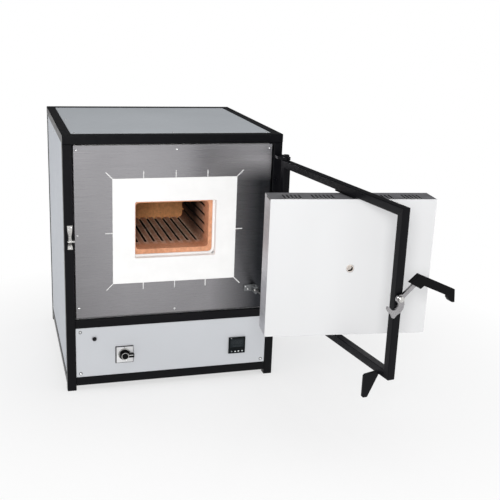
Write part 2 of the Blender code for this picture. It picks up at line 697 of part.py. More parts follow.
def build_keeper(root):
    plate = [(0.0085, 0.414), (0.0220, 0.414), (0.0212, 0.4215), (0.0178, 0.4310), (0.0182, 0.4480),
             (0.0212, 0.4690), (0.0222, 0.480), (0.0078, 0.480), (0.0086, 0.4690), (0.0106, 0.4480),
             (0.0106, 0.4310), (0.0090, 0.4215)]
    keeper = add_part("latch_keeper", slab([plate], 0.002), BRIGHT_STEEL, root,
                      (0.0, -GAP - 0.001, 0.0), FRONT)
    strap = [(-0.0010, 0.4665), (-0.0215, 0.4440), (-0.0215, 0.4380), (-0.0010, 0.4215),
             (-0.0010, 0.4255), (-0.0175, 0.4395), (-0.0175, 0.4425), (-0.0010, 0.4620)]
    join(keeper, "strap", slab([strap], 0.007), (0.0140, 0.0, 0.0), SIDE)
    join(keeper, "bar", rod(0.003, 0.0181, 16), (0.01655, -0.020, 0.441), RIGHT)


def build_link_anchor(root):
    x, y = LINK_ANCHOR
    base = rounded_rectangle(0.036, 0.0186, 0.003, 0.5225, 0.2745)
    anchor = add_part("link_anchor", slab([base], 0.003), GREY_PAINT, root,
                      (0.0, PLATE_Y - GAP - 0.0015, 0.0), FRONT)
    tab = [(x + 0.0055, 0.0050), (x - 0.0100, 0.0050), (x - 0.0070, y)]
    tab += arc(x, y, 0.007, 180, 360, 8)[1:]
    for name, low, high in (("upper_tab", LINK_HIGH + 0.0015, LINK_HIGH + 0.0055),
                            ("lower_tab", LINK_LOW - 0.0055, LINK_LOW - 0.0015)):
        join(anchor, name, slab([tab], high - low), (0.0, 0.0, (low + high) / 2))
    join(anchor, "pin", rod(0.003, 0.026, 16), (x, y, (LINK_LOW + LINK_HIGH) / 2))


# ---------------------------------------------------------------- swinging door frame
def build_door_frame(root):
    """X runs from the hinge along the frame, Y outwards from the closed door."""
    axis = add_empty("door_axis", root, (HINGE_X, HINGE_Y, 0.0), OPEN_ANGLE - math.pi)
    names = [f"door_frame_tube_{side}" for side in ("bottom", "free", "top", "hinge")]
    base = Matrix.Translation((FRAME_BACK, 0.0, FRAME_LOW)) @ Matrix.Rotation(math.pi / 2, 4, "X")
    bottom, free, top, hinge = add_tube_ring(names, FRAME_REACH - FRAME_BACK,
                                             FRAME_HIGH - FRAME_LOW, FRAME_TUBE, BLACK_PAINT,
                                             axis, base)
    cut(bottom, "pin_hole", rod(0.0054, 0.008), (0.0, 0.0, FRAME_LOW))
    cut(top, "pin_hole", rod(0.0054, 0.008), (0.0, 0.0, FRAME_HIGH))
    cut(free, "bolt_hole", rod(0.0043, 0.060), (FRAME_REACH - FRAME_TUBE / 2, 0.0, LATCH_Z), RIGHT)
    build_door_stop(axis)
    build_leaf_pivots(axis)
    build_latch(axis)
    build_leaf(axis)


def build_door_stop(axis):
    """Outline in Y and Z: it hangs under the frame and meets the cabinet's middle rail."""
    outline = [(0.0060, 0.2477), (-0.0100, 0.2477), (-0.0350, 0.2450), (-0.0392, 0.2415),
               (-0.0392, 0.1885), (-0.0360, 0.1850), (-0.0250, 0.1850)]
    add_part("door_stop", slab([outline], 0.006), BLACK_PAINT, axis, (0.515, 0.0, 0.0), SIDE)


def build_leaf_pivots(axis):
    plate_top = FRAME_HIGH - FRAME_TUBE - GAP
    upper = add_block("leaf_pivot_upper", (0.283, -0.010, plate_top - 0.003),
                      (0.374, 0.010, plate_top), BLACK_PAINT, axis, 0.0005)
    pin_high = plate_top - 0.0015
    pin_low = 0.6215
    join(upper, "pin", rod(0.004, pin_high - pin_low, 16),
         (LEAF_PIVOT, 0.0, (pin_high + pin_low) / 2))
    foot = FRAME_LOW + FRAME_TUBE + GAP
    lower = [(0.0, 0.2930), (0.0035, 0.2930), (0.004, 0.2922), (0.004, 0.2857), (0.007, 0.2857),
             (0.007, 0.2713), (0.010, 0.2710), (0.010, foot), (0.0, foot)]
    add_turned("leaf_pivot_lower", lower, False, BRIGHT_STEEL, axis, (LEAF_PIVOT, 0.0, 0.0))


# ---------------------------------------------------------------- door leaf and its link rod
def build_leaf(axis):
    """X along the leaf, Y towards the kiln, from the leaf's pivot."""
    pivot = add_empty("leaf_axis", axis, (LEAF_PIVOT, 0.0, 0.0),
                      LEAF_YAW - (OPEN_ANGLE - math.pi))
    tall = LEAF_HIGH - LEAF_LOW
    middle_z = (LEAF_HIGH + LEAF_LOW) / 2
    casing = add_tray("leaf_casing", (LEAF_WIDTH, tall, LEAF_THICKNESS), TUBE_WALL, WHITE_PAINT,
                      pivot, (LEAF_MID_X, LEAF_MID_Y, middle_z), FRONT)
    vents = []
    for first, count in ((-0.1690, 5), (-0.0985, 6), (0.0455, 6), (0.1265, 5)):
        for index in range(count):
            x = LEAF_MID_X + first + index * VENT_PITCH
            vents.append(((x, VENT_FRONT, LEAF_HIGH - 0.006),
                          (x + 0.0042, VENT_BACK, LEAF_HIGH + 0.006)))
    cut(casing, "vents", blocks(vents))
    cut(casing, "sight_hole", rod(0.010, 0.010, 32), (LEAF_MID_X, -0.062, SIGHT_Z), FRONT)
    cut(casing, "upper_pin_hole", rod(0.0045, 0.010, 16), (0.0, 0.0, LEAF_HIGH))
    cut(casing, "lower_pin_hole", rod(0.0045, 0.010, 16), (0.0, 0.0, LEAF_LOW))
    tab = rounded_rectangle(0.022, 0.056, 0.006, LINK_EYE[0], 0.002)
    join(casing, "link_tab", slab([tab], 0.0035), (0.0, 0.0, LEAF_LOW - 0.00125))
    join(casing, "link_pin", rod(0.003, 0.016, 16), (*LINK_EYE, LEAF_LOW - 0.0090))
    build_leaf_insulation(pivot)
    sight = [(0.0, 0.0503), (0.0075, 0.0503), (0.0075, 0.0613), (0.0090, 0.0613), (0.0097, 0.0606),
             (0.0097, 0.0303 - PLUG_BACK - 0.030), (0.0, 0.0303 - PLUG_BACK - 0.030)]
    add_turned("sight_tube", sight, False, SIGHT_CERAMIC, pivot, (LEAF_MID_X, 0.0, SIGHT_Z), FRONT)


def build_leaf_insulation(pivot):
    inner_half = LEAF_WIDTH / 2 - TUBE_WALL - 0.0015
    low = LEAF_LOW + TUBE_WALL + GAP
    slab_block = add_block("leaf_insulation", (LEAF_MID_X - inner_half, -0.0602, low),
                           (LEAF_MID_X + inner_half, 0.0076, 0.614), FIBRE, pivot)
    join(slab_block, "plug", block(PLUG_WIDTH, PLUG_BACK - 0.005, 0.300, 0.003),
         (LEAF_MID_X, (PLUG_BACK + 0.005) / 2, 0.452))
    cut(slab_block, "sight_bore", rod(0.0100, 0.200), (LEAF_MID_X, 0.0, SIGHT_Z), FRONT)
    cut(slab_block, "pin_pocket", rod(0.0070, 0.020, 16), (0.0, 0.0, low - 0.001))


def build_link_rod(root):
    """Flat bar between two eyes.  The leaf's eye is slack, because the linkage is a near fit."""
    axis = add_empty("link_axis", root, (*LINK_ANCHOR, 0.0), LINK_CLOSED + OPEN_ANGLE)
    half = 0.005
    near, far = 0.0075, 0.0090
    near_angle = math.degrees(math.asin(half / near))
    far_angle = math.degrees(math.asin(half / far))
    outline = arc(0.0, 0.0, near, near_angle, 360 - near_angle, 16)
    outline += arc(LINK_LENGTH, 0.0, far, far_angle - 180, 180 - far_angle, 16)
    holes = [circle(0.0, 0.0, 0.0034), circle(LINK_LENGTH, 0.0, 0.003 + LINK_SLACK)]
    add_part("link_rod", slab([outline, *holes], LINK_HIGH - LINK_LOW), BRIGHT_STEEL, axis,
             (0.0, 0.0, (LINK_LOW + LINK_HIGH) / 2))


# ---------------------------------------------------------------- latch
def lever_outline():
    """Y outwards and Z up, from the lever's pivot: stem, boss and the hook below it."""
    stem = math.radians(40.2)
    reach = 0.052
    half = 0.005
    along = Vector((math.cos(stem), math.sin(stem)))
    across = Vector((-math.sin(stem), math.cos(stem)))
    boss = 0.0105
    lean = math.degrees(math.asin(half / boss))
    tip = [tuple(along * reach - across * half), tuple(along * reach + across * half)]
    outline = tip + arc(0.0, 0.0, boss, 40.2 + lean, 222, 10)
    outline += arc(-0.0155, -0.0135, 0.0114, 5, -145, 9)
    outline += [(-0.0290, -0.0155), (-0.0330, -0.0155), (-0.0330, -0.0210), (-0.0280, -0.0285),
                (-0.0205, -0.0355), (-0.0170, -0.0435), (-0.0130, -0.0445), (-0.0085, -0.0395)]
    outline += [(-0.0050, -0.0365), (0.0030, -0.0330), (0.0095, -0.0240), (0.0115, -0.0135),
                (0.0098, -0.0040)]
    return outline + arc(0.0, 0.0, boss, 40.2 - lean, 40.2 - lean, 1)[:1]


def build_latch(axis):
    bolt = [(0.0, 0.0135), (0.0060, 0.0135), (0.0070, 0.0125), (0.0070, 0.0083), (0.0040, 0.0083),
            (0.0040, -0.0203), (0.0070, -0.0203), (0.0070, -0.0260), (0.0, -0.0260)]
    add_turned("latch_bolt", bolt, False, BRIGHT_STEEL, axis, (FRAME_REACH, 0.0, LATCH_Z), RIGHT)
    pivot = add_empty("latch_axis", axis, (FRAME_REACH, 0.0, LATCH_Z))
    add_part("latch_lever", slab([lever_outline(), circle(0.0, 0.0, 0.0044)], 0.006),
             BRIGHT_STEEL, pivot, (0.005, 0.0, 0.0), SIDE)
    grip_outline = [(0.0192, 0.0367), (0.0483, 0.0200), (0.0570, 0.0262), (0.1265, -0.0050),
                    (0.1277, -0.0110), (0.1330, -0.0180), (0.1400, -0.0220), (0.1470, -0.0225),
                    (0.1440, 0.0090), (0.0426, 0.0549)]
    grip = add_part("latch_grip", slab([grip_outline], 0.0124), BLACK_PLASTIC, pivot,
                    (0.0070, 0.0, 0.0), SIDE)
    pocket = slab([[(0.020, -0.0053), (0.0525, -0.0053), (0.0525, 0.0053), (0.020, 0.0053)]],
                  0.0066)
    pocket.transform(Matrix.Rotation(math.radians(40.2), 4, "Z"))
    cut(grip, "stem_pocket", pocket, (0.0050, 0.0, 0.0), SIDE)


# ---------------------------------------------------------------- the whole kiln
def centre_over_origin(root):
    """Move the root so that the box of all the parts stands centred on the world origin."""
    bpy.context.view_layer.update()
    graph = bpy.context.evaluated_depsgraph_get()
    corners = []
    for obj in PARTS.objects:
        if obj.type == "MESH":
            shape = obj.evaluated_get(graph)
            corners += [shape.matrix_world @ vertex.co for vertex in shape.data.vertices]
    low = Vector([min(corner[axis] for corner in corners) for axis in range(3)])
    high = Vector([max(corner[axis] for corner in corners) for axis in range(3)])
    root.location = (-(low.x + high.x) / 2, -(low.y + high.y) / 2, -low.z)


def build_kiln():
    root = add_empty("kiln_origin", None, (0.0, 0.0, 0.0))
    build_cabinet_frame(root)
    build_panels(root)
    build_front_plate(root)
    build_collar(root)
    build_muffle(root)
    build_insulation(root)
    build_heating(root)
    build_electrics(root)
    build_control_panel(root)
    build_hinge_lugs(root)
    build_keeper(root)
    build_link_anchor(root)
    build_door_frame(root)
    build_link_rod(root)
    centre_over_origin(root)


build_kiln()
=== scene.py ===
"""Looks of the bench kiln for pottery: finishes, rounded edges, screws, welds and panel details."""
import json
import math

import bmesh
import bpy
from mathutils import Matrix, Vector


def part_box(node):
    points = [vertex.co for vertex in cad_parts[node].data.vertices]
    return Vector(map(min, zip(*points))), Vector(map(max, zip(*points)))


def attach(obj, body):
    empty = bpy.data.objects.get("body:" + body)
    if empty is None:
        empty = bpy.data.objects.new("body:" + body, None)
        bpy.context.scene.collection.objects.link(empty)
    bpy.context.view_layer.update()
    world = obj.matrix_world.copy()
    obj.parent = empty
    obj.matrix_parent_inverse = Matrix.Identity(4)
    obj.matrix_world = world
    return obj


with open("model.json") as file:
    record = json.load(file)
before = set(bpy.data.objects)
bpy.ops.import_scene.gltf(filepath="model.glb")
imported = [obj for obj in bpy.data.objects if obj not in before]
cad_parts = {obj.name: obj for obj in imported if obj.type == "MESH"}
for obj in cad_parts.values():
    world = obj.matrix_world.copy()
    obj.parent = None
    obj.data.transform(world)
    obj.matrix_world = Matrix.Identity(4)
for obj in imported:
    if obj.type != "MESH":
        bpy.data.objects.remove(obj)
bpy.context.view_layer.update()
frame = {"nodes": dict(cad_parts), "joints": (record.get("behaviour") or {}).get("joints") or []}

# ---------------------------------------------------------------- places, read from the frame
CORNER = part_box("frame_upright_front_left")[0]          # front lower left corner of the cabinet
JOINTS = {joint["name"]: joint for joint in frame["joints"]}
HINGE = Vector(JOINTS["door_swing"]["pos_m"])
LEAF_PIVOT = Vector(JOINTS["leaf_pivot"]["pos_m"])
LATCH_AXIS = Vector(JOINTS["latch_turn"]["axis"])
DOOR_TURN = math.atan2(-LATCH_AXIS.y, -LATCH_AXIS.x)    # the frame runs along its own X
LEAF_TURN = math.radians(-7.0)
CABINET = Matrix.Translation(CORNER)
DOOR = Matrix.Translation((HINGE.x, HINGE.y, 0.0)) @ Matrix.Rotation(DOOR_TURN, 4, "Z")
LEAF = Matrix.Translation((LEAF_PIVOT.x, LEAF_PIVOT.y, 0.0)) @ Matrix.Rotation(LEAF_TURN, 4, "Z")

MUFFLE_LOW, MUFFLE_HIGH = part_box("muffle")
MUFFLE_WALL = 0.0105
MUFFLE_FLOOR = 0.0135
CHAMBER_X = (MUFFLE_LOW.x + MUFFLE_HIGH.x) / 2
CHAMBER_DEPTH = 0.347                                   # rim of the muffle to its back wall
GROOVE_PITCH = 0.0246
GROOVE_SHALLOW = 0.0010                                 # painted groove shade starts at this depth
GROOVE_DEEP = 0.0034                                    # and is full at this depth

LEAF_MIDDLE = 0.0094                                    # the leaf's own X, from its pivot
LEAF_HALF = 0.204
LEAF_LOW = 0.286                                        # the casing, without its pivot boss
LEAF_HIGH = 0.6295
VENT_MIDDLE = -0.035                                    # line of the leaf's vents, its own Y
VENT_REACH = 0.0205
PANEL_SCREW = (0.0032, 0.0018)                          # radius and height of the heads
SMALL_SCREW = (0.0026, 0.0015)
STRIP_SCREW = (0.0026, 0.0014)

TO_FRONT = Matrix.Rotation(math.pi / 2, 4, "X")         # local Z to the front, local Y up
TO_REAR = Matrix.Rotation(math.pi, 4, "Z") @ TO_FRONT
TO_LEFT = Matrix.Rotation(-math.pi / 2, 4, "Z") @ TO_FRONT
TO_RIGHT = Matrix.Rotation(math.pi / 2, 4, "Z") @ TO_FRONT

# ---------------------------------------------------------------- camera, from the cabinet's corner
CAMERA_AT = Vector((-0.1699, -2.2093, 1.0722))
CAMERA_AZIMUTH = math.radians(-17.28)
CAMERA_ELEVATION = math.radians(16.45)
CAMERA_ROLL = math.radians(2.344)
CAMERA_LENS = 61.02


# ---------------------------------------------------------------- materials
class Shader:
    """A Principled material whose colour, roughness and bump come from its nodes."""

    def __init__(self, name, roughness=0.5, metallic=0.0, specular=0.5):
        self.material = bpy.data.materials.new(name)
        self.material.use_nodes = True
        self.nodes = self.material.node_tree.nodes
        self.links = self.material.node_tree.links
        self.surface = self.nodes["Principled BSDF"]
        self.surface.inputs["Roughness"].default_value = roughness
        self.surface.inputs["Metallic"].default_value = metallic
        self.surface.inputs["Specular IOR Level"].default_value = specular
        self.place = self.nodes.new("ShaderNodeTexCoord").outputs["Object"]

    def noise(self, scale, detail=4.0, stretch=(1.0, 1.0, 1.0), roughness=0.55):
        mapping = self.nodes.new("ShaderNodeMapping")
        mapping.inputs["Scale"].default_value = stretch
        self.links.new(self.place, mapping.inputs["Vector"])
        texture = self.nodes.new("ShaderNodeTexNoise")
        texture.inputs["Scale"].default_value = scale
        texture.inputs["Detail"].default_value = detail
        texture.inputs["Roughness"].default_value = roughness
        self.links.new(mapping.outputs["Vector"], texture.inputs["Vector"])
        return texture.outputs["Fac"]

    def cells(self, scale):
        texture = self.nodes.new("ShaderNodeTexVoronoi")
        texture.inputs["Scale"].default_value = scale
        self.links.new(self.place, texture.inputs["Vector"])
        return texture.outputs["Distance"]

    def ramp(self, value, stops):
        """Stops are (place, colour) pairs."""
        node = self.nodes.new("ShaderNodeValToRGB")
        elements = node.color_ramp.elements
        while len(elements) < len(stops):
            elements.new(0.5)
        for element, (place, colour) in zip(elements, stops):
            element.position = place
            element.color = (*colour, 1.0)
        self.links.new(value, node.inputs["Fac"])
        return node.outputs["Color"]

    def span(self, value, low, high, from_low=0.3, from_high=0.7):
        node = self.nodes.new("ShaderNodeMapRange")
        node.inputs["From Min"].default_value = from_low
        node.inputs["From Max"].default_value = from_high
        node.inputs["To Min"].default_value = low
        node.inputs["To Max"].default_value = high
        self.links.new(value, node.inputs["Value"])
        return node.outputs["Result"]

    def math(self, operation, first, second=0.0):
        node = self.nodes.new("ShaderNodeMath")
        node.operation = operation
        for socket, value in zip(node.inputs, (first, second)):
            if isinstance(value, float):
                socket.default_value = value
            else:
                self.links.new(value, socket)
        return node.outputs["Value"]

    def mix(self, share, first, second, blend="MIX"):
        node = self.nodes.new("ShaderNodeMixRGB")
        node.blend_type = blend
        for socket, value in zip(node.inputs, (share, first, second)):
            if isinstance(value, float):
                socket.default_value = value
            elif isinstance(value, tuple):
                socket.default_value = (*value, 1.0)
            else:
                self.links.new(value, socket)
        return node.outputs["Color"]

    def axis(self, name):
        node = self.nodes.new("ShaderNodeSeparateXYZ")
        self.links.new(self.place, node.inputs["Vector"])
        return node.outputs[name]

    def facing(self, name):
        """The face's direction along one axis of the object."""
        node = self.nodes.new("ShaderNodeSeparateXYZ")
        self.links.new(self.nodes["Texture Coordinate"].outputs["Normal"], node.inputs["Vector"])
        return node.outputs[name]

    def colour(self, value):
        self.links.new(value, self.surface.inputs["Base Color"])

    def rough(self, value):
        self.links.new(value, self.surface.inputs["Roughness"])

    def bump(self, height, distance, strength=0.6):
        node = self.nodes.new("ShaderNodeBump")
        node.inputs["Distance"].default_value = distance
        node.inputs["Strength"].default_value = strength
        self.links.new(height, node.inputs["Height"])
        self.links.new(node.outputs["Normal"], self.surface.inputs["Normal"])


def tint(colour, factor):
    return tuple(min(1.0, channel * factor) for channel in colour)


def powder_coat(name, colour, roughness, variation=0.06, grain=0.00004, specular=0.5):
    """Sprayed paint: orange-peel grain, faint cloudiness and uneven gloss."""
    shader = Shader(name, roughness, specular=specular)
    clouds = shader.noise(3.0, 3.0)
    shader.colour(shader.ramp(clouds, [(0.3, tint(colour, 1 - variation)),
                                       (0.7, tint(colour, 1 + variation))]))
    shader.rough(shader.span(shader.noise(60.0, 5.0), roughness - 0.06, roughness + 0.08))
    shader.bump(shader.noise(1300.0, 2.0), grain, 0.5)
    return shader.material


def brushed_steel(name, light, dark, roughness, stretch=(2.0, 2.0, 220.0)):
    """Rolled and brushed sheet: long fine lines, with a few broad streaks."""
    shader = Shader(name, roughness, metallic=1.0)
    lines = shader.noise(4.0, 6.0, stretch, 0.7)
    broad = shader.noise(1.4, 2.0, (1.0, 1.0, 6.0))
    blend = shader.mix(0.45, lines, broad)
    shader.colour(shader.ramp(blend, [(0.32, dark), (0.68, light)]))
    shader.rough(shader.span(lines, roughness - 0.05, roughness + 0.09))
    shader.bump(lines, 0.00002, 0.35)
    shader.surface.inputs["Anisotropic"].default_value = 0.4
    return shader.material


def plate_steel(name):
    """Brushed stainless front plate: fine level lines, reflections smeared upright, a painted dark
    reflection of the door leaf's back on its right side, and painted sheen towards the top."""
    shader = Shader(name, 0.30, metallic=1.0)
    lines = shader.noise(4.0, 6.0, (1.5, 1.0, 240.0), 0.7)
    clouds = shader.noise(5.0, 3.0)
    base = shader.ramp(shader.mix(0.5, lines, clouds), [(0.30, (0.345, 0.338, 0.352)),
                                                       (0.70, (0.425, 0.415, 0.430))])
    low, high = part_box("front_plate")
    rightward = shader.span(shader.axis("X"), 0.0, 1.0, low.x + 0.375, low.x + 0.515)
    below_top = shader.span(shader.axis("Z"), 1.0, 0.0, high.z - 0.105, high.z - 0.045)
    # painted reflection: the door leaf's dark back, painted into the plate's right side below its top
    leaf_reflection_mask = shader.math("MULTIPLY", rightward, below_top)
    leaf_reflection_dark = (0.016, 0.019, 0.024)
    base = shader.mix(shader.math("MULTIPLY", leaf_reflection_mask, 0.93), base, leaf_reflection_dark)
    # painted sheen: lighter towards the top and the top right, darker at the left edge
    painted_light_factor = shader.math("MULTIPLY", shader.span(shader.axis("Z"), 0.74, 1.10, low.z, high.z),
                       shader.span(shader.axis("X"), 0.76, 1.00, low.x, low.x + 0.140))
    top_right_sheen = shader.math("SUBTRACT", rightward, leaf_reflection_mask)
    painted_light_factor = shader.math("ADD", painted_light_factor, shader.math("MULTIPLY", top_right_sheen, 0.80))
    shader.colour(shader.mix(1.0, base, painted_light_factor, "MULTIPLY"))
    shader.rough(shader.span(lines, 0.24, 0.34))
    shader.bump(lines, 0.00002, 0.22)
    shader.surface.inputs["Anisotropic"].default_value = 0.7
    shader.surface.inputs["Anisotropic Rotation"].default_value = 0.25
    return shader.material


def leaf_sheet(name):
    """White face on a folded casing whose edges are left as brushed sheet; painted shade darkens the walls
    of the vent slots, and painted light makes the upright bare faces paler than the top.
    """
    white = (0.700, 0.702, 0.706)
    shader = Shader(name, 0.40)
    front = shader.span(shader.facing("Y"), 1.0, 0.0, -0.80, -0.55)
    to_leaf = shader.nodes.new("ShaderNodeMapping")
    to_leaf.inputs["Location"].default_value = LEAF.inverted().to_translation()
    to_leaf.inputs["Rotation"].default_value = LEAF.inverted().to_euler()
    shader.links.new(shader.place, to_leaf.inputs["Vector"])
    local = shader.nodes.new("ShaderNodeSeparateXYZ")
    shader.links.new(to_leaf.outputs["Vector"], local.inputs["Vector"])
    # painted shade: the walls of the vent slots, near the top, darkened to near black
    from_vents = shader.math("ABSOLUTE", shader.math("SUBTRACT", local.outputs["Y"], VENT_MIDDLE))
    near_vents = shader.span(from_vents, 1.0, 0.0, VENT_REACH, VENT_REACH + 0.0025)
    not_up = shader.span(shader.facing("Z"), 1.0, 0.0, 0.3, 0.6)
    at_top = shader.span(local.outputs["Z"], 0.0, 1.0, LEAF_HIGH - 0.006, LEAF_HIGH - 0.004)
    vent_slot_shade = shader.math("MULTIPLY", shader.math("MULTIPLY", near_vents, not_up), at_top)
    bands = shader.noise(3.2, 2.0, (1.0, 1.0, 0.12))
    painted = shader.ramp(bands, [(0.35, tint(white, 0.93)), (0.65, tint(white, 1.04))])
    lines = shader.noise(30.0, 5.0, (1.0, 1.0, 14.0), 0.7)
    bare = shader.ramp(lines, [(0.3, (0.24, 0.24, 0.255)), (0.7, (0.36, 0.355, 0.375))])
    painted_light_factor = shader.span(shader.facing("Z"), 1.60, 0.92, 0.0, 1.0)        # painted light: upright faces lighter, the top darker
    bare = shader.mix(1.0, bare, painted_light_factor, "MULTIPLY")
    sheet = shader.mix(front, bare, painted)
    shader.colour(shader.mix(vent_slot_shade, sheet, (0.006, 0.006, 0.007)))
    shader.rough(shader.span(shader.noise(60.0, 5.0), 0.34, 0.46))
    shader.links.new(shader.span(front, 0.55, 0.0, 0.0, 1.0), shader.surface.inputs["Metallic"])
    shader.bump(shader.noise(1300.0, 2.0), 0.00003, 0.4)
    return shader.material


def polished_metal(name, colour, roughness):
    """Plated steel, with fine scratches and a slightly worn gloss."""
    shader = Shader(name, roughness, metallic=1.0)
    smears = shader.noise(35.0, 4.0)
    shader.colour(shader.ramp(smears, [(0.3, tint(colour, 0.82)), (0.7, colour)]))
    shader.rough(shader.span(shader.noise(180.0, 3.0, (1.0, 1.0, 4.0)), roughness, roughness + 0.16))
    shader.bump(shader.noise(420.0, 3.0, (1.0, 5.0, 1.0)), 0.00003, 0.25)
    return shader.material


def moulded_plastic(name, colour, roughness, specular=0.5):
    """Fine spark-eroded mould texture."""
    shader = Shader(name, roughness, specular=specular)
    shader.colour(shader.ramp(shader.noise(18.0), [(0.3, tint(colour, 0.85)),
                                                   (0.7, tint(colour, 1.15))]))
    shader.rough(shader.span(shader.noise(240.0), roughness - 0.07, roughness + 0.07))
    shader.bump(shader.cells(1500.0), 0.00006, 0.35)
    return shader.material


def ceramic_fibre(name, colour=(0.90, 0.895, 0.885)):
    """Vacuum-formed fibre board: soft mottling, shot specks and a felted surface."""
    shader = Shader(name, 0.95, specular=0.15)
    mottled = shader.ramp(shader.noise(22.0, 6.0), [(0.3, tint(colour, 0.955)), (0.7, colour)])
    specks = shader.span(shader.cells(260.0), 0.94, 1.0, 0.02, 0.12)
    shader.colour(shader.mix(1.0, mottled, specks, "MULTIPLY"))
    shader.rough(shader.span(shader.noise(90.0), 0.88, 1.0))
    felt = shader.math("ADD", shader.noise(520.0, 6.0), shader.noise(70.0, 4.0))
    shader.bump(felt, 0.00018, 0.55)
    return shader.material


def fired_clay(name):
    """Unglazed terra-cotta: pale at the rim, darker inwards on the grooved floor and sides, painted
    highlights on the rib edges and painted shade in the grooves and at the back of its right wall."""
    rim = (0.900, 0.450, 0.270)
    back_wall = (1.000, 0.500, 0.215)
    inner_tone = (0.640, 0.370, 0.250)
    crest_wear_and_highlight = (1.000, 0.820, 0.680)
    groove = (0.024, 0.013, 0.009)
    right_wall_shade = (0.016, 0.009, 0.007)
    shader = Shader(name, 0.85, specular=0.2)
    left, right = MUFFLE_LOW.x + MUFFLE_WALL, MUFFLE_HIGH.x - MUFFLE_WALL
    floor_z, roof_z = MUFFLE_LOW.z + MUFFLE_FLOOR, MUFFLE_HIGH.z - MUFFLE_WALL
    depth = shader.math("SUBTRACT", shader.axis("Y"), float(MUFFLE_LOW.y))
    grain = shader.ramp(shader.noise(110.0, 8.0, roughness=0.75),
                        [(0.34, (0.70, 0.68, 0.66)), (0.62, (1.0, 1.0, 1.0))])
    toast = shader.ramp(shader.noise(16.0, 5.0), [(0.3, (0.80, 0.76, 0.72)), (0.7, (1.0, 1.0, 1.0))])
    worn = shader.ramp(shader.noise(120.0, 6.0), [(0.50, (0.0, 0.0, 0.0)), (0.72, (0.7, 0.7, 0.7))])
    ribs = shader.mix(worn, inner_tone, crest_wear_and_highlight)
    pitch = shader.math("DIVIDE", shader.math("SUBTRACT", shader.axis("X"), float(CHAMBER_X)),
                        GROOVE_PITCH)
    from_rib = shader.math("PINGPONG", pitch, 0.5)      # 0 on a rib's middle, 0.5 on a groove's
    # painted highlight: a pale streak along the edges of each rib
    rib_edge_highlight = shader.math("MULTIPLY", shader.span(from_rib, 0.0, 1.0, 0.20, 0.26),
                           shader.span(shader.noise(70.0, 3.0), 0.45, 1.0, 0.35, 0.60))
    ribs = shader.mix(rib_edge_highlight, ribs, crest_wear_and_highlight)
    to_inner_tone = shader.span(depth, 0.0, 1.0, 0.040, 0.076)
    to_back = shader.span(depth, 0.0, 1.0, CHAMBER_DEPTH - 0.0025, CHAMBER_DEPTH - 0.0005)
    # painted shade: the grooves darken with their depth below the floor and walls
    sunk = []
    for axis, low, high in (("Z", floor_z, roof_z), ("X", left, right)):
        sunk.append(shader.span(shader.axis(axis), 1.0, 0.0, low - GROOVE_DEEP, low - GROOVE_SHALLOW))
        sunk.append(shader.span(shader.axis(axis), 0.0, 1.0, high + GROOVE_SHALLOW, high + GROOVE_DEEP))
    groove_shade_mask = sunk[0]
    for value in sunk[1:]:
        groove_shade_mask = shader.math("MAXIMUM", groove_shade_mask, value)
    ribs = shader.mix(groove_shade_mask, ribs, groove)
    # painted shade: the back of the right wall, darker towards the roof
    on_right = shader.span(shader.axis("X"), 0.0, 1.0, right - 0.012, right - 0.002)
    right_wall_shade_mask = shader.math("MULTIPLY", shader.span(depth, 0.0, 1.0, 0.045, 0.170),
                         shader.span(shader.axis("Z"), 0.65, 1.0, floor_z, floor_z + 0.050))
    ribs = shader.mix(shader.math("MULTIPLY", on_right, right_wall_shade_mask), ribs, right_wall_shade)
    inner = shader.mix(to_back, ribs, back_wall)
    shade = shader.mix(to_inner_tone, rim, inner)
    shade = shader.mix(1.0, shade, grain, "MULTIPLY")
    shader.colour(shader.mix(1.0, shade, toast, "MULTIPLY"))
    shader.rough(shader.span(shader.noise(120.0), 0.78, 0.94))
    shader.bump(shader.noise(380.0, 6.0), 0.00022, 0.6)
    return shader.material


def sight_lining(name):
    """Pale ceramic, with painted shade on the wall of its short bore."""
    shader = Shader(name, 0.8, specular=0.2)
    mottled = shader.ramp(shader.noise(300.0, 5.0), [(0.3, (0.80, 0.70, 0.62)), (0.7, (0.93, 0.87, 0.81))])
    bore_shade = (0.016, 0.009, 0.006)
    # painted shade: faces across the bore darken to near black, end faces stay pale
    flat_on = shader.span(shader.math("ABSOLUTE", shader.facing("Y")), 0.0, 1.0, 0.50, 0.75)
    shader.colour(shader.mix(flat_on, bore_shade, mottled))
    shader.rough(shader.span(shader.noise(200.0), 0.7, 0.95))
    shader.bump(shader.noise(900.0, 4.0), 0.00008, 0.5)
    return shader.material


def glossy_window(name, colour):
    """Smoked window over a display."""
    shader = Shader(name, 0.12, specular=0.15)
    shader.colour(shader.ramp(shader.noise(40.0), [(0.3, tint(colour, 0.9)), (0.7, colour)]))
    shader.rough(shader.span(shader.noise(90.0), 0.08, 0.20))
    return shader.material


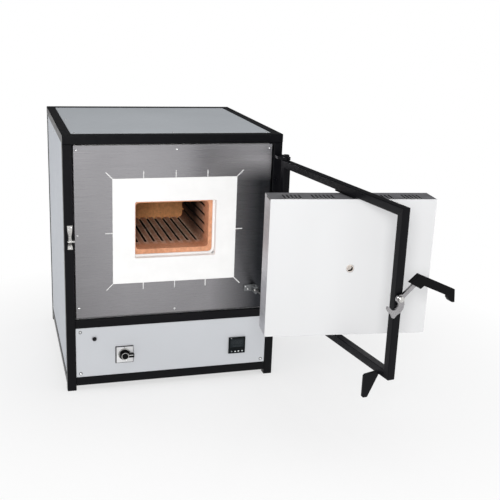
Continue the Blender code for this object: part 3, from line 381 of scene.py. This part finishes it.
def make_materials():
    """Every finish, by the short name that the pieces use."""
    return {
        "black": powder_coat("black_frame_paint", (0.0028, 0.0028, 0.0040), 0.33, 0.25, 0.00005, 0.12),
        "grey": powder_coat("light_grey_paint", (0.495, 0.522, 0.566), 0.46, 0.03),
        "panel": powder_coat("control_panel_paint", (0.545, 0.560, 0.585), 0.40, 0.035),
        "top": powder_coat("top_panel_paint", (0.590, 0.622, 0.655), 0.42, 0.05),
        "leaf": leaf_sheet("white_leaf_paint"),
        "front": plate_steel("brushed_front_plate"),
        "sheet": brushed_steel("plain_inner_sheet", (0.60, 0.60, 0.61), (0.42, 0.42, 0.43), 0.42),
        "bright": polished_metal("plated_steel", (0.66, 0.65, 0.63), 0.16),
        "satin": brushed_steel("satin_ring_steel", (0.60, 0.60, 0.62), (0.44, 0.44, 0.46), 0.45),
        "lever": polished_metal("cast_lever_steel", (0.40, 0.39, 0.40), 0.20),
        "screw": polished_metal("screw_steel", (0.74, 0.74, 0.74), 0.22),
        "anchor": powder_coat("anchor_paint", (0.11, 0.114, 0.118), 0.38, 0.10),
        "fin": brushed_steel("extruded_aluminium", (0.74, 0.74, 0.75), (0.55, 0.55, 0.56), 0.36),
        "fibre": ceramic_fibre("ceramic_fibre_board"),
        "clay": fired_clay("fired_terracotta"),
        "sight": ceramic_fibre("sight_hole_ceramic", (0.76, 0.60, 0.52)),
        "lining": sight_lining("sight_hole_lining"),
        "wire": polished_metal("oxidised_wire", (0.22, 0.19, 0.17), 0.45),
        "plastic": moulded_plastic("black_moulded_plastic", (0.0050, 0.0068, 0.0076), 0.42, 0.08),
        "button": moulded_plastic("button_plastic", (0.0050, 0.0055, 0.0065), 0.45, 0.14),
        "light": moulded_plastic("light_moulded_plastic", (0.66, 0.66, 0.665), 0.42),
        "window": glossy_window("display_window", (0.012, 0.016, 0.019)),
        "segment": glossy_window("display_segments", (0.040, 0.046, 0.050)),
        "key": moulded_plastic("key_rubber", (0.008, 0.011, 0.012), 0.45, 0.08),
        "mark": moulded_plastic("pale_printed_mark", (0.86, 0.92, 0.93), 0.45),
        "dim": moulded_plastic("dim_printed_mark", (0.26, 0.29, 0.30), 0.45),
        "grip": moulded_plastic("latch_grip_plastic", (0.0020, 0.0020, 0.0024), 0.40, 0.09),
        # dark print and gasket lines, also used as painted shade under the leaf's vents and on the switch
        # plate's left and top
        "ink_and_shade": moulded_plastic("dark_print_and_painted_shade", (0.012, 0.012, 0.018), 0.5, 0.15),
    }


MATERIALS = make_materials()


# ---------------------------------------------------------------- making pieces
SAME_PLACE = 0.000004                                   # corners this near are one corner
FLAT_EDGE = 0.6                                         # degrees: faces this near level are one face
HARD_EDGE = 32.0                                        # and edges sharper than this are rounded
SHARP_EDGE = 48.0                                       # and shaded as sharp from here
PIECE_SHARP_EDGE = 50.0                                 # the same, on the pieces made here


def finish_piece(name, form, look, body, place=Matrix.Identity(4)):
    """Turn a bmesh into a piece that rides on a body."""
    form.transform(place)
    bmesh.ops.recalc_face_normals(form, faces=form.faces)
    mesh = bpy.data.meshes.new(name)
    form.to_mesh(mesh)
    form.free()
    mesh.shade_smooth()
    mesh.set_sharp_from_angle(angle=math.radians(PIECE_SHARP_EDGE))
    mesh.materials.append(MATERIALS[look])
    piece = bpy.data.objects.new(name, mesh)
    bpy.context.scene.collection.objects.link(piece)
    weighted = piece.modifiers.new("even shading", "WEIGHTED_NORMAL")
    weighted.keep_sharp = True
    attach(piece, body)


def refine(node, look, edge=0.0, segments=2):
    """Give a CAD node its finish, and round its hard edges with modifiers."""
    piece = frame["nodes"][node]
    piece.data.materials.clear()
    piece.data.materials.append(MATERIALS[look])
    piece.data.shade_smooth()
    weld = piece.modifiers.new("join faces", "WELD")
    weld.merge_threshold = SAME_PLACE
    flat = piece.modifiers.new("flat faces", "DECIMATE")
    flat.decimate_type = "DISSOLVE"
    flat.angle_limit = math.radians(FLAT_EDGE)
    if edge:
        bevel = piece.modifiers.new("rounded edges", "BEVEL")
        bevel.width = edge
        bevel.segments = segments
        bevel.limit_method = "ANGLE"
        bevel.angle_limit = math.radians(HARD_EDGE)
    split = piece.modifiers.new("sharp edges", "EDGE_SPLIT")
    split.split_angle = math.radians(SHARP_EDGE)
    piece.modifiers.new("even shading", "WEIGHTED_NORMAL")


def merged(forms):
    """Several bmeshes as one, which stay separate shells."""
    whole = bmesh.new()
    for form in forms:
        mesh = bpy.data.meshes.new("part")
        form.to_mesh(mesh)
        form.free()
        whole.from_mesh(mesh)
        bpy.data.meshes.remove(mesh)
    return whole


def box_form(low, high, edge=0.0, segments=2):
    """A block between two corners, its edges rounded or chamfered."""
    form = bmesh.new()
    bmesh.ops.create_cube(form, size=1.0)
    low, high = Vector(low), Vector(high)
    bmesh.ops.scale(form, vec=high - low, verts=form.verts)
    bmesh.ops.translate(form, vec=(high + low) / 2, verts=form.verts)
    if edge:
        bmesh.ops.bevel(form, geom=form.edges[:], offset=edge, segments=segments, profile=0.5,
                        affect="EDGES")
    return form


def turned_form(profile, steps=28):
    """A closed turned body about Z.  The profile is (radius, height) from the top's middle down."""
    form = bmesh.new()
    rings = []
    for radius, height in profile:
        if radius < 1e-6:
            rings.append([form.verts.new((0.0, 0.0, height))])
            continue
        ring = []
        for step in range(steps):
            angle = 2 * math.pi * step / steps
            ring.append(form.verts.new((radius * math.cos(angle), radius * math.sin(angle), height)))
        rings.append(ring)
    for upper, lower in zip(rings, rings[1:]):
        for step in range(steps):
            following = (step + 1) % steps
            corners = [upper[step % len(upper)], lower[step % len(lower)],
                       lower[following % len(lower)], upper[following % len(upper)]]
            unique = list(dict.fromkeys(corners))
            if len(unique) > 2:
                form.faces.new(unique)
    return form


def screw_head(radius, height, steps=24):
    """Domed head with a cross recess, its seat at Z 0."""
    recess = 0.62 * radius
    slot_half = 0.13 * radius
    cross = [(recess, -slot_half), (recess, slot_half), (slot_half, slot_half), (slot_half, recess),
             (-slot_half, recess), (-slot_half, slot_half), (-recess, slot_half),
             (-recess, -slot_half), (-slot_half, -slot_half), (-slot_half, -recess),
             (slot_half, -recess), (slot_half, -slot_half)]
    form = bmesh.new()
    rings = []
    for painted_light_factor in (0, 25, 50):
        reach = radius * math.cos(math.radians(painted_light_factor))
        rings.append([form.verts.new((reach * math.cos(2 * math.pi * step / steps),
                                      reach * math.sin(2 * math.pi * step / steps),
                                      height * math.sin(math.radians(painted_light_factor))))
                      for step in range(steps)])
    for lower, upper in zip(rings, rings[1:]):
        for step in range(steps):
            following = (step + 1) % steps
            form.faces.new([lower[step], lower[following], upper[following], upper[step]])
    mouth = [form.verts.new((x, y, 0.86 * height)) for x, y in cross]
    bottom = [form.verts.new((x, y, 0.35 * height)) for x, y in cross]
    count = len(cross)
    for index in range(count):
        following = (index + 1) % count
        first = 2 * index - 1                           # each corner of the cross takes two steps
        a, b, c = [rings[-1][(first + step) % steps] for step in range(3)]
        form.faces.new([a, b, mouth[index]])
        form.faces.new([b, c, mouth[following], mouth[index]])
        form.faces.new([mouth[index], mouth[following], bottom[following], bottom[index]])
    form.faces.new(bottom)
    form.faces.new(list(reversed(rings[0])))
    return form


def screws(name, places, turn, body, base, size=PANEL_SCREW):
    """Screw heads at the places given, all facing the same way, as one piece."""
    forms = []
    for index, place in enumerate(places):
        form = screw_head(*size)
        twist = Matrix.Rotation(math.radians(17 + 53 * index), 4, "Z")
        form.transform(base @ Matrix.Translation(place) @ turn @ twist)
        forms.append(form)
    finish_piece(name, merged(forms), "screw", body)


def bead(start, end, radius, waves):
    """A weld bead between two points: a rippled round seam."""
    form = bmesh.new()
    start, end = Vector(start), Vector(end)
    along = end - start
    length = along.length
    turn = along.to_track_quat("Z", "Y").to_matrix()
    rings = []
    sides = 8
    steps = 4 * waves
    for step in range(steps + 1):
        share = step / steps
        taper = math.sqrt(max(0.02, 1 - abs(2 * share - 1) ** 8))
        swell = radius * taper * (1 + 0.14 * math.cos(2 * math.pi * waves * share))
        ring = []
        for side in range(sides):
            angle = 2 * math.pi * side / sides
            local = Vector((swell * math.cos(angle), swell * math.sin(angle), share * length))
            ring.append(form.verts.new(start + turn @ local))
        rings.append(ring)
    for lower, upper in zip(rings, rings[1:]):
        for side in range(sides):
            following = (side + 1) % sides
            form.faces.new([lower[side], lower[following], upper[following], upper[side]])
    form.faces.new(list(reversed(rings[0])))
    form.faces.new(rings[-1])
    return form


# ---------------------------------------------------------------- the CAD nodes' finishes
def finish_cabinet():
    black = [node for node in frame["nodes"] if node.startswith(
        ("frame_upright", "top_rail", "mid_rail", "bottom_rail"))]
    for node in black:
        refine(node, "black")
    for node in ("hinge_lug_upper", "hinge_lug_lower"):
        refine(node, "black", 0.0007)
    for node, look in (("top_panel", "top"), ("left_panel", "grey"), ("right_panel", "grey"),
                       ("rear_panel", "grey"), ("control_panel", "panel")):
        refine(node, look, 0.0005)
    refine("front_plate", "front", 0.0003)
    refine("fibre_collar", "fibre", 0.0014, segments=3)
    refine("muffle", "clay", 0.0011)
    for node in ("base_plate", "deck_plate"):
        refine(node, "sheet", 0.0003)
    for node in ("insulation_bottom", "insulation_top", "insulation_left", "insulation_right",
                 "insulation_rear"):
        refine(node, "fibre", 0.0015)
    refine("heating_element", "wire")
    refine("thermocouple", "bright")
    refine("terminal_block", "sight")
    refine("solid_state_relay", "fin", 0.0004)
    refine("cable_gland", "plastic", 0.0005)
    refine("link_anchor", "anchor", 0.0005)
    refine("latch_keeper", "bright", 0.0005)
    refine("controller_housing", "plastic", 0.0002)
    refine("mains_switch_housing", "light", 0.0002)
    refine("push_button_bezel", "satin")


def finish_controls():
    refine("push_button", "button")
    refine("mains_switch_knob", "grip", 0.0006)
    for index in range(1, 5):
        refine(f"controller_key_{index}", "key")


def finish_door():
    for node in ("door_frame_tube_bottom", "door_frame_tube_free", "door_frame_tube_top",
                 "door_frame_tube_hinge"):
        refine(node, "black")
    for node in ("door_stop", "leaf_pivot_upper"):
        refine(node, "black", 0.0006)
    refine("leaf_pivot_lower", "bright")
    refine("latch_bolt", "bright", 0.0004)
    refine("leaf_casing", "leaf", 0.0007)
    refine("leaf_insulation", "fibre", 0.0020, segments=3)
    refine("sight_tube", "lining")
    refine("link_rod", "bright", 0.0006)
    refine("latch_lever", "lever", 0.0009, segments=3)
    refine("latch_grip", "grip", 0.0025, segments=4)


# ---------------------------------------------------------------- fasteners and welds
def round_the_edge(columns, rows):
    """A three by three grid of places without its middle."""
    return [(u, v) for u in columns for v in rows if (u, v) != (columns[1], rows[1])]


def add_screws():
    """Screws of the sheets and fittings, in the cabinet's own places, and the panel's washers."""
    plate_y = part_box("front_plate")[0].y - CORNER.y
    plate = [(x, plate_y, z) for x, z in
             ((0.0350, 0.680), (0.302, 0.680), (0.565, 0.680), (0.0355, 0.449), (0.5645, 0.449),
              (0.0356, 0.243), (0.302, 0.225), (0.5644, 0.243))]
    screws("front_plate_screws", plate, TO_FRONT, "cabinet", CABINET)
    panel_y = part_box("control_panel")[0].y - CORNER.y
    panel = [(x, panel_y, z) for x in (0.0375, 0.5635) for z in (0.0495, 0.1730)]
    screws("control_panel_screws", panel, TO_FRONT, "cabinet", CABINET)
    washers = []
    for x, y, z in panel:
        washer = turned_form([(0.0, 0.0004), (0.0042, 0.0004), (0.0047, 0.0), (0.0047, -0.0003),
                              (0.0, -0.0003)], 24)
        washer.transform(CABINET @ Matrix.Translation((x, y, z)) @ TO_FRONT)
        washers.append(washer)
    finish_piece("control_panel_washers", merged(washers), "anchor", "cabinet")
    top_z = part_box("top_panel")[1].z
    top = [(x, y, top_z) for x, y in round_the_edge((0.035, 0.300, 0.565), (0.045, 0.295, 0.545))]
    screws("top_panel_screws", top, Matrix.Identity(4), "cabinet", CABINET)
    left_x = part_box("left_panel")[0].x - CORNER.x
    right_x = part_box("right_panel")[1].x - CORNER.x
    rows = round_the_edge((0.040, 0.295, 0.550), (0.052, 0.367, 0.682))
    screws("left_panel_screws", [(left_x, y, z) for y, z in rows], TO_LEFT, "cabinet", CABINET)
    screws("right_panel_screws", [(right_x, y, z) for y, z in rows], TO_RIGHT, "cabinet", CABINET)
    rear_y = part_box("rear_panel")[1].y - CORNER.y
    rear = [(x, rear_y, z) for x, z in round_the_edge((0.040, 0.300, 0.560), (0.052, 0.367, 0.682))]
    screws("rear_panel_screws", rear, TO_REAR, "cabinet", CABINET)
    keeper_y = -0.0023                                  # outer face of the keeper's plate
    keeper = [(0.0112, keeper_y, 0.4745), (0.0188, keeper_y, 0.4745), (0.0150, keeper_y, 0.4190)]
    screws("keeper_screws", keeper, TO_FRONT, "cabinet", CABINET, SMALL_SCREW)
    anchor_y = plate_y - 0.0033                         # outer face of the anchor's base
    anchor = [(0.5095, anchor_y, 0.2785), (0.5165, anchor_y, 0.2710)]
    screws("anchor_screws", anchor, TO_FRONT, "cabinet", CABINET, SMALL_SCREW)


def add_welds():
    """Ground weld seams where the frame tubes meet, in paint."""
    radius, waves = 0.0008, 6
    front, back = 0.0035, 0.0215                        # clear of the tube's rounded corners
    seams = []
    for x in (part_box("frame_upright_front_left")[1].x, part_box("frame_upright_front_right")[0].x):
        for rail, edges in (("mid_rail_front", (0, 1)), ("bottom_rail_front", (1, 0))):
            for edge in edges:
                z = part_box(rail)[edge].z
                seams.append(bead((x - CORNER.x, front, z), (x - CORNER.x, back, z), radius, waves))
    for form in seams:
        form.transform(CABINET)
    finish_piece("cabinet_weld_seams", merged(seams), "black", "cabinet")
    near, reach, low, high = 0.010, 0.551, 0.268, 0.634       # inner corners, on the door frame
    corners = [(near, low), (reach, low), (reach, high), (near, high)]
    seams = [bead((x, -0.008, z), (x, 0.008, z), radius, waves) for x, z in corners]
    for form in seams:
        form.transform(DOOR)
    finish_piece("door_frame_weld_seams", merged(seams), "black", "door_frame")


# ---------------------------------------------------------------- controls' details
def flat_form(outline, front, back):
    """A thin plate between two places in Y, whose outline is in X and Z."""
    form = bmesh.new()
    near, far = [[form.verts.new((x, y, z)) for x, z in outline] for y in (front, back)]
    form.faces.new(near)
    form.faces.new(list(reversed(far)))
    for index in range(len(outline)):
        following = (index + 1) % len(outline)
        form.faces.new([near[index], far[index], far[following], near[following]])
    return form


def segment_bar(x, z, length, width, upright):
    """One bar of a digit, pointed at both ends, 0.2 mm thick."""
    half, point = width / 2, length / 2
    outline = [(-point, 0.0), (-point + half, half), (point - half, half), (point, 0.0),
               (point - half, -half), (-point + half, -half)]
    if upright:
        outline = [(v, u) for u, v in outline]
    return flat_form([(x + u, z + v) for u, v in outline], 0.0, 0.0002)


def digit_bars(x, z, width, height, bar, gap):
    """The seven bars of one digit about its middle."""
    bars = [segment_bar(x, z + row * height / 2, width - gap, bar, False) for row in (-1, 0, 1)]
    for side in (-1, 1):
        for row in (-1, 1):
            bars.append(segment_bar(x + side * width / 2, z + row * height / 4, height / 2 - gap,
                                    bar, True))
    return bars


def add_controller_details():
    """The display's window with two rows of unlit digits, and a small lamp."""
    low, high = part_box("controller_housing")
    middle_x, middle_z = (low.x + high.x) / 2, (low.z + high.z) / 2
    window_y = low.y + 0.0010
    window_half, window_low, window_high = 0.0204, middle_z - 0.0064, middle_z + 0.0204
    window = box_form((middle_x - window_half, window_y - 0.0004, window_low),
                      (middle_x + window_half, window_y + 0.0001, window_high), 0.0002)
    finish_piece("controller_window", window, "window", "cabinet")
    bars = []
    for painted_light_factor, pitch, width, height, bar, gap in ((0.0098, 0.0088, 0.0056, 0.0100, 0.0010, 0.0008),
                                                 (-0.0020, 0.0066, 0.0038, 0.0052, 0.0006, 0.0006)):
        for digit in range(4):
            bars += digit_bars(middle_x + (digit - 1.5) * pitch, middle_z + painted_light_factor, width, height, bar, gap)
    for form in bars:
        form.transform(Matrix.Translation((0.0, window_y - 0.0006, 0.0)))
    finish_piece("controller_segments", merged(bars), "segment", "cabinet")
    lamp = turned_form([(0.0, 0.0008), (0.0008, 0.0007), (0.0013, 0.0003), (0.0014, -0.0010),
                        (0.0, -0.0010)], 16)
    lamp.transform(Matrix.Translation((low.x + 0.0075, low.y, high.z - 0.0022)) @ TO_FRONT)
    finish_piece("controller_lamp", lamp, "light", "cabinet")


def add_switch_details():
    """A dark gasket line round the switch plate, drawn wider on the left and top as painted shade,
    position marks, the knob's pointer and two bright rings."""
    low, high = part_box("mains_switch_housing")
    middle = Vector(((low.x + high.x) / 2, low.y, (low.z + high.z) / 2))
    outer = (high.x - low.x) / 2 - 0.0004
    shaded_side_width, narrow = 0.0034, 0.0011
    front, back = low.y - 0.00025, low.y + 0.0002
    bars = []
    # painted shade: the gasket line is drawn wider on the left and top than on the right and bottom
    for a, b in (((-outer, outer - shaded_side_width), (outer, outer)), ((-outer, -outer), (outer, narrow - outer)),
                 ((-outer, narrow - outer), (shaded_side_width - outer, outer - shaded_side_width)),
                 ((outer - narrow, narrow - outer), (outer, outer - shaded_side_width))):
        bars.append(box_form((middle.x + a[0], front, middle.z + a[1]),
                             (middle.x + b[0], back, middle.z + b[1]), 0.0001, 1))
    for angle in (0, 90):
        turn = Matrix.Rotation(math.radians(-angle), 4, "Y")
        mark = box_form((0.0190, -0.00025, -0.0006), (0.0220, 0.0002, 0.0006), 0.0001, 1)
        mark.transform(Matrix.Translation(middle) @ turn)
        bars.append(mark)
    finish_piece("switch_plate_lines_and_shade", merged(bars), "ink_and_shade", "cabinet")
    knob_low, knob_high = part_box("mains_switch_knob")
    pointer = box_form((middle.x + 0.0112, knob_low.y - 0.00025, middle.z + 0.0012),
                       (knob_high.x - 0.0025, knob_low.y + 0.0003, middle.z + 0.0030), 0.0002, 1)
    finish_piece("switch_knob_pointer", pointer, "light", "mains_switch_knob")
    for name, inner, outer, height, seat, body in (
            ("switch_plate_ring", 0.0152, 0.0176, 0.0014, low.y, "cabinet"),
            ("switch_knob_ring", 0.0088, 0.0104, 0.0008, knob_low.y, "mains_switch_knob")):
        slope = (outer - inner) / 3
        ring = turned_form([(inner, 0.0003), (inner + slope, height), (outer - slope, height),
                            (outer, 0.0003), (outer, -0.0003), (inner, -0.0003), (inner, 0.0003)], 40)
        ring.transform(Matrix.Translation((middle.x, seat, middle.z)) @ TO_FRONT)
        finish_piece(name, ring, "bright", body)


def add_key_symbols():
    """A plain mark on each key: a disc and three arrowheads, all generic."""
    disc = 0.0019
    outlines = (
        [(disc * math.cos(math.radians(30 * step)), disc * math.sin(math.radians(30 * step)))
         for step in range(12)],
        [(-0.0025, -0.0019), (0.0025, -0.0019), (0.0, 0.0024)],
        [(-0.0022, -0.0022), (0.0024, 0.0), (-0.0022, 0.0022)],
        [(-0.0025, 0.0019), (0.0, -0.0024), (0.0025, 0.0019)])
    for index, outline in enumerate(outlines, 1):
        low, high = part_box(f"controller_key_{index}")
        middle = Vector(((low.x + high.x) / 2, low.y, (low.z + high.z) / 2))
        finish_piece(f"key_{index}_symbol", flat_form(outline, -0.00015, 0.0002),
                     "dim" if index == 1 else "mark", f"controller_key_{index}",
                     Matrix.Translation(middle))


# ---------------------------------------------------------------- the leaf's details
def add_leaf_details():
    """A screwed retaining strip round the leaf's open side, and a dark sheet under its vents that paints
    the shade in the slots.
    """
    left, right = LEAF_MIDDLE - LEAF_HALF, LEAF_MIDDLE + LEAF_HALF
    strip, inset, back, thick = 0.014, 0.0016, 0.0081, 0.0010
    strips = []
    for a, b in (((left + inset, LEAF_LOW + inset), (right - inset, LEAF_LOW + strip)),
                 ((left + inset, LEAF_HIGH - strip), (right - inset, LEAF_HIGH - inset)),
                 ((left + inset, LEAF_LOW + strip), (left + strip, LEAF_HIGH - strip)),
                 ((right - strip, LEAF_LOW + strip), (right - inset, LEAF_HIGH - strip))):
        strips.append(box_form((a[0], back, a[1]), (b[0], back + thick, b[1]), 0.0003, 1))
    for form in strips:
        form.transform(LEAF)
    finish_piece("leaf_retaining_strips", merged(strips), "sheet", "leaf")
    reach = 0.180                                       # past the outer vents
    # painted shade: a dark sheet just under the vents makes the slots read black
    vent_shade_sheet = box_form((LEAF_MIDDLE - reach, VENT_MIDDLE - 0.0225, LEAF_HIGH - 0.0105),
                      (LEAF_MIDDLE + reach, VENT_MIDDLE + 0.0230, LEAF_HIGH - 0.0095), 0.0003, 1)
    vent_shade_sheet.transform(LEAF)
    finish_piece("leaf_vent_shade_sheet", vent_shade_sheet, "ink_and_shade", "leaf")
    middle = strip / 2 + 0.001
    places = [(LEAF_MIDDLE + share * (LEAF_HALF - middle), back + thick, z)
              for share in (-1, -0.34, 0.34, 1) for z in (LEAF_LOW + middle, LEAF_HIGH - middle)]
    screws("leaf_strip_screws", places, TO_REAR, "leaf", LEAF, STRIP_SCREW)


# ---------------------------------------------------------------- floor, light and camera
def add_floor():
    """A pale floor that fades to plain white away from the object."""
    bpy.ops.mesh.primitive_plane_add(size=14.0, location=(0.0, 0.0, -0.0004))
    floor = bpy.context.object
    floor.name = "pale_floor"
    shader = Shader("pale_floor", 0.9, specular=0.1)
    shader.colour(shader.ramp(shader.noise(1.5, 2.0), [(0.3, (0.93, 0.93, 0.93)),
                                                       (0.7, (0.95, 0.95, 0.95))]))
    glow = shader.nodes.new("ShaderNodeEmission")
    distance = shader.nodes.new("ShaderNodeVectorMath")
    distance.operation = "LENGTH"
    shader.links.new(shader.place, distance.inputs[0])
    share = shader.span(distance.outputs["Value"], 0.55, 1.0, 0.3, 1.2)
    blend = shader.nodes.new("ShaderNodeMixShader")
    shader.links.new(share, blend.inputs["Fac"])
    shader.links.new(shader.surface.outputs["BSDF"], blend.inputs[1])
    shader.links.new(glow.outputs["Emission"], blend.inputs[2])
    output = shader.nodes["Material Output"]
    shader.links.new(blend.outputs["Shader"], output.inputs["Surface"])
    floor.data.materials.append(shader.material)


def add_world():
    """White to the camera; for the light, a softer dome that is darker low behind the object."""
    world = bpy.data.worlds.new("studio")
    bpy.context.scene.world = world
    world.use_nodes = True
    nodes, links = world.node_tree.nodes, world.node_tree.links
    dome = nodes["Background"]
    dome.inputs["Strength"].default_value = 0.50
    plain = nodes.new("ShaderNodeBackground")
    plain.inputs["Color"].default_value = (1.0, 1.0, 1.0, 1.0)
    place = nodes.new("ShaderNodeTexCoord")
    parts = nodes.new("ShaderNodeSeparateXYZ")
    links.new(place.outputs["Generated"], parts.inputs["Vector"])
    ramp = nodes.new("ShaderNodeValToRGB")
    ramp.color_ramp.elements[0].position = 0.0
    ramp.color_ramp.elements[0].color = (0.62, 0.63, 0.66, 1.0)
    ramp.color_ramp.elements[1].position = 0.9
    ramp.color_ramp.elements[1].color = (1.0, 1.0, 1.0, 1.0)
    links.new(parts.outputs["Z"], ramp.inputs["Fac"])
    behind = nodes.new("ShaderNodeMapRange")
    behind.inputs["From Min"].default_value = 0.15
    behind.inputs["From Max"].default_value = 0.70
    behind.inputs["To Min"].default_value = 1.0
    behind.inputs["To Max"].default_value = 0.25
    links.new(parts.outputs["Y"], behind.inputs["Value"])
    shaded = nodes.new("ShaderNodeMixRGB")
    shaded.blend_type = "MULTIPLY"
    shaded.inputs["Fac"].default_value = 1.0
    links.new(ramp.outputs["Color"], shaded.inputs["Color1"])
    links.new(behind.outputs["Result"], shaded.inputs["Color2"])
    links.new(shaded.outputs["Color"], dome.inputs["Color"])
    path = nodes.new("ShaderNodeLightPath")
    choose = nodes.new("ShaderNodeMixShader")
    links.new(path.outputs["Is Camera Ray"], choose.inputs["Fac"])
    links.new(dome.outputs["Background"], choose.inputs[1])
    links.new(plain.outputs["Background"], choose.inputs[2])
    links.new(choose.outputs["Shader"], nodes["World Output"].inputs["Surface"])


def add_lights():
    """Soft square lights round the object: place, size in metres, and watts."""
    for name, place, size, power in (("key_light", (-0.75, -2.5, 1.25), 0.7, 35.0),
                                     ("left_light", (-2.6, -0.2, 1.3), 1.6, 14.0),
                                     ("top_light", (0.2, 0.3, 2.9), 2.4, 14.0),
                                     ("right_light", (2.4, -1.4, 1.5), 1.6, 10.0)):
        data = bpy.data.lights.new(name, "AREA")
        data.shape = "SQUARE"
        data.size = size
        data.energy = power
        light = bpy.data.objects.new(name, data)
        bpy.context.scene.collection.objects.link(light)
        light.location = place
        aim = Vector((0.0, 0.0, 0.4)) - Vector(place)
        light.rotation_euler = aim.to_track_quat("-Z", "Y").to_euler()


def add_camera():
    """The camera at the fitted place, turned by its azimuth, elevation and roll."""
    data = bpy.data.cameras.new("camera")
    data.sensor_width = 36.0
    data.lens = CAMERA_LENS
    camera = bpy.data.objects.new("camera", data)
    bpy.context.scene.collection.objects.link(camera)
    back = Vector((math.sin(CAMERA_AZIMUTH) * math.cos(CAMERA_ELEVATION),
                   -math.cos(CAMERA_AZIMUTH) * math.cos(CAMERA_ELEVATION),
                   math.sin(CAMERA_ELEVATION)))
    forward = -back
    right = forward.cross(Vector((0.0, 0.0, 1.0))).normalized()
    up = right.cross(forward)
    tilted_right = math.cos(CAMERA_ROLL) * right + math.sin(CAMERA_ROLL) * up
    tilted_up = -math.sin(CAMERA_ROLL) * right + math.cos(CAMERA_ROLL) * up
    turn = Matrix((tilted_right, tilted_up, back)).transposed()
    camera.matrix_world = Matrix.Translation(CORNER + CAMERA_AT) @ turn.to_4x4()
    bpy.context.scene.camera = camera


add_floor()
add_world()
add_lights()
add_camera()
finish_cabinet()
finish_controls()
finish_door()
add_screws()
add_welds()
add_controller_details()
add_switch_details()
add_key_symbols()
add_leaf_details()
bpy.context.scene.view_settings.view_transform = "Standard"
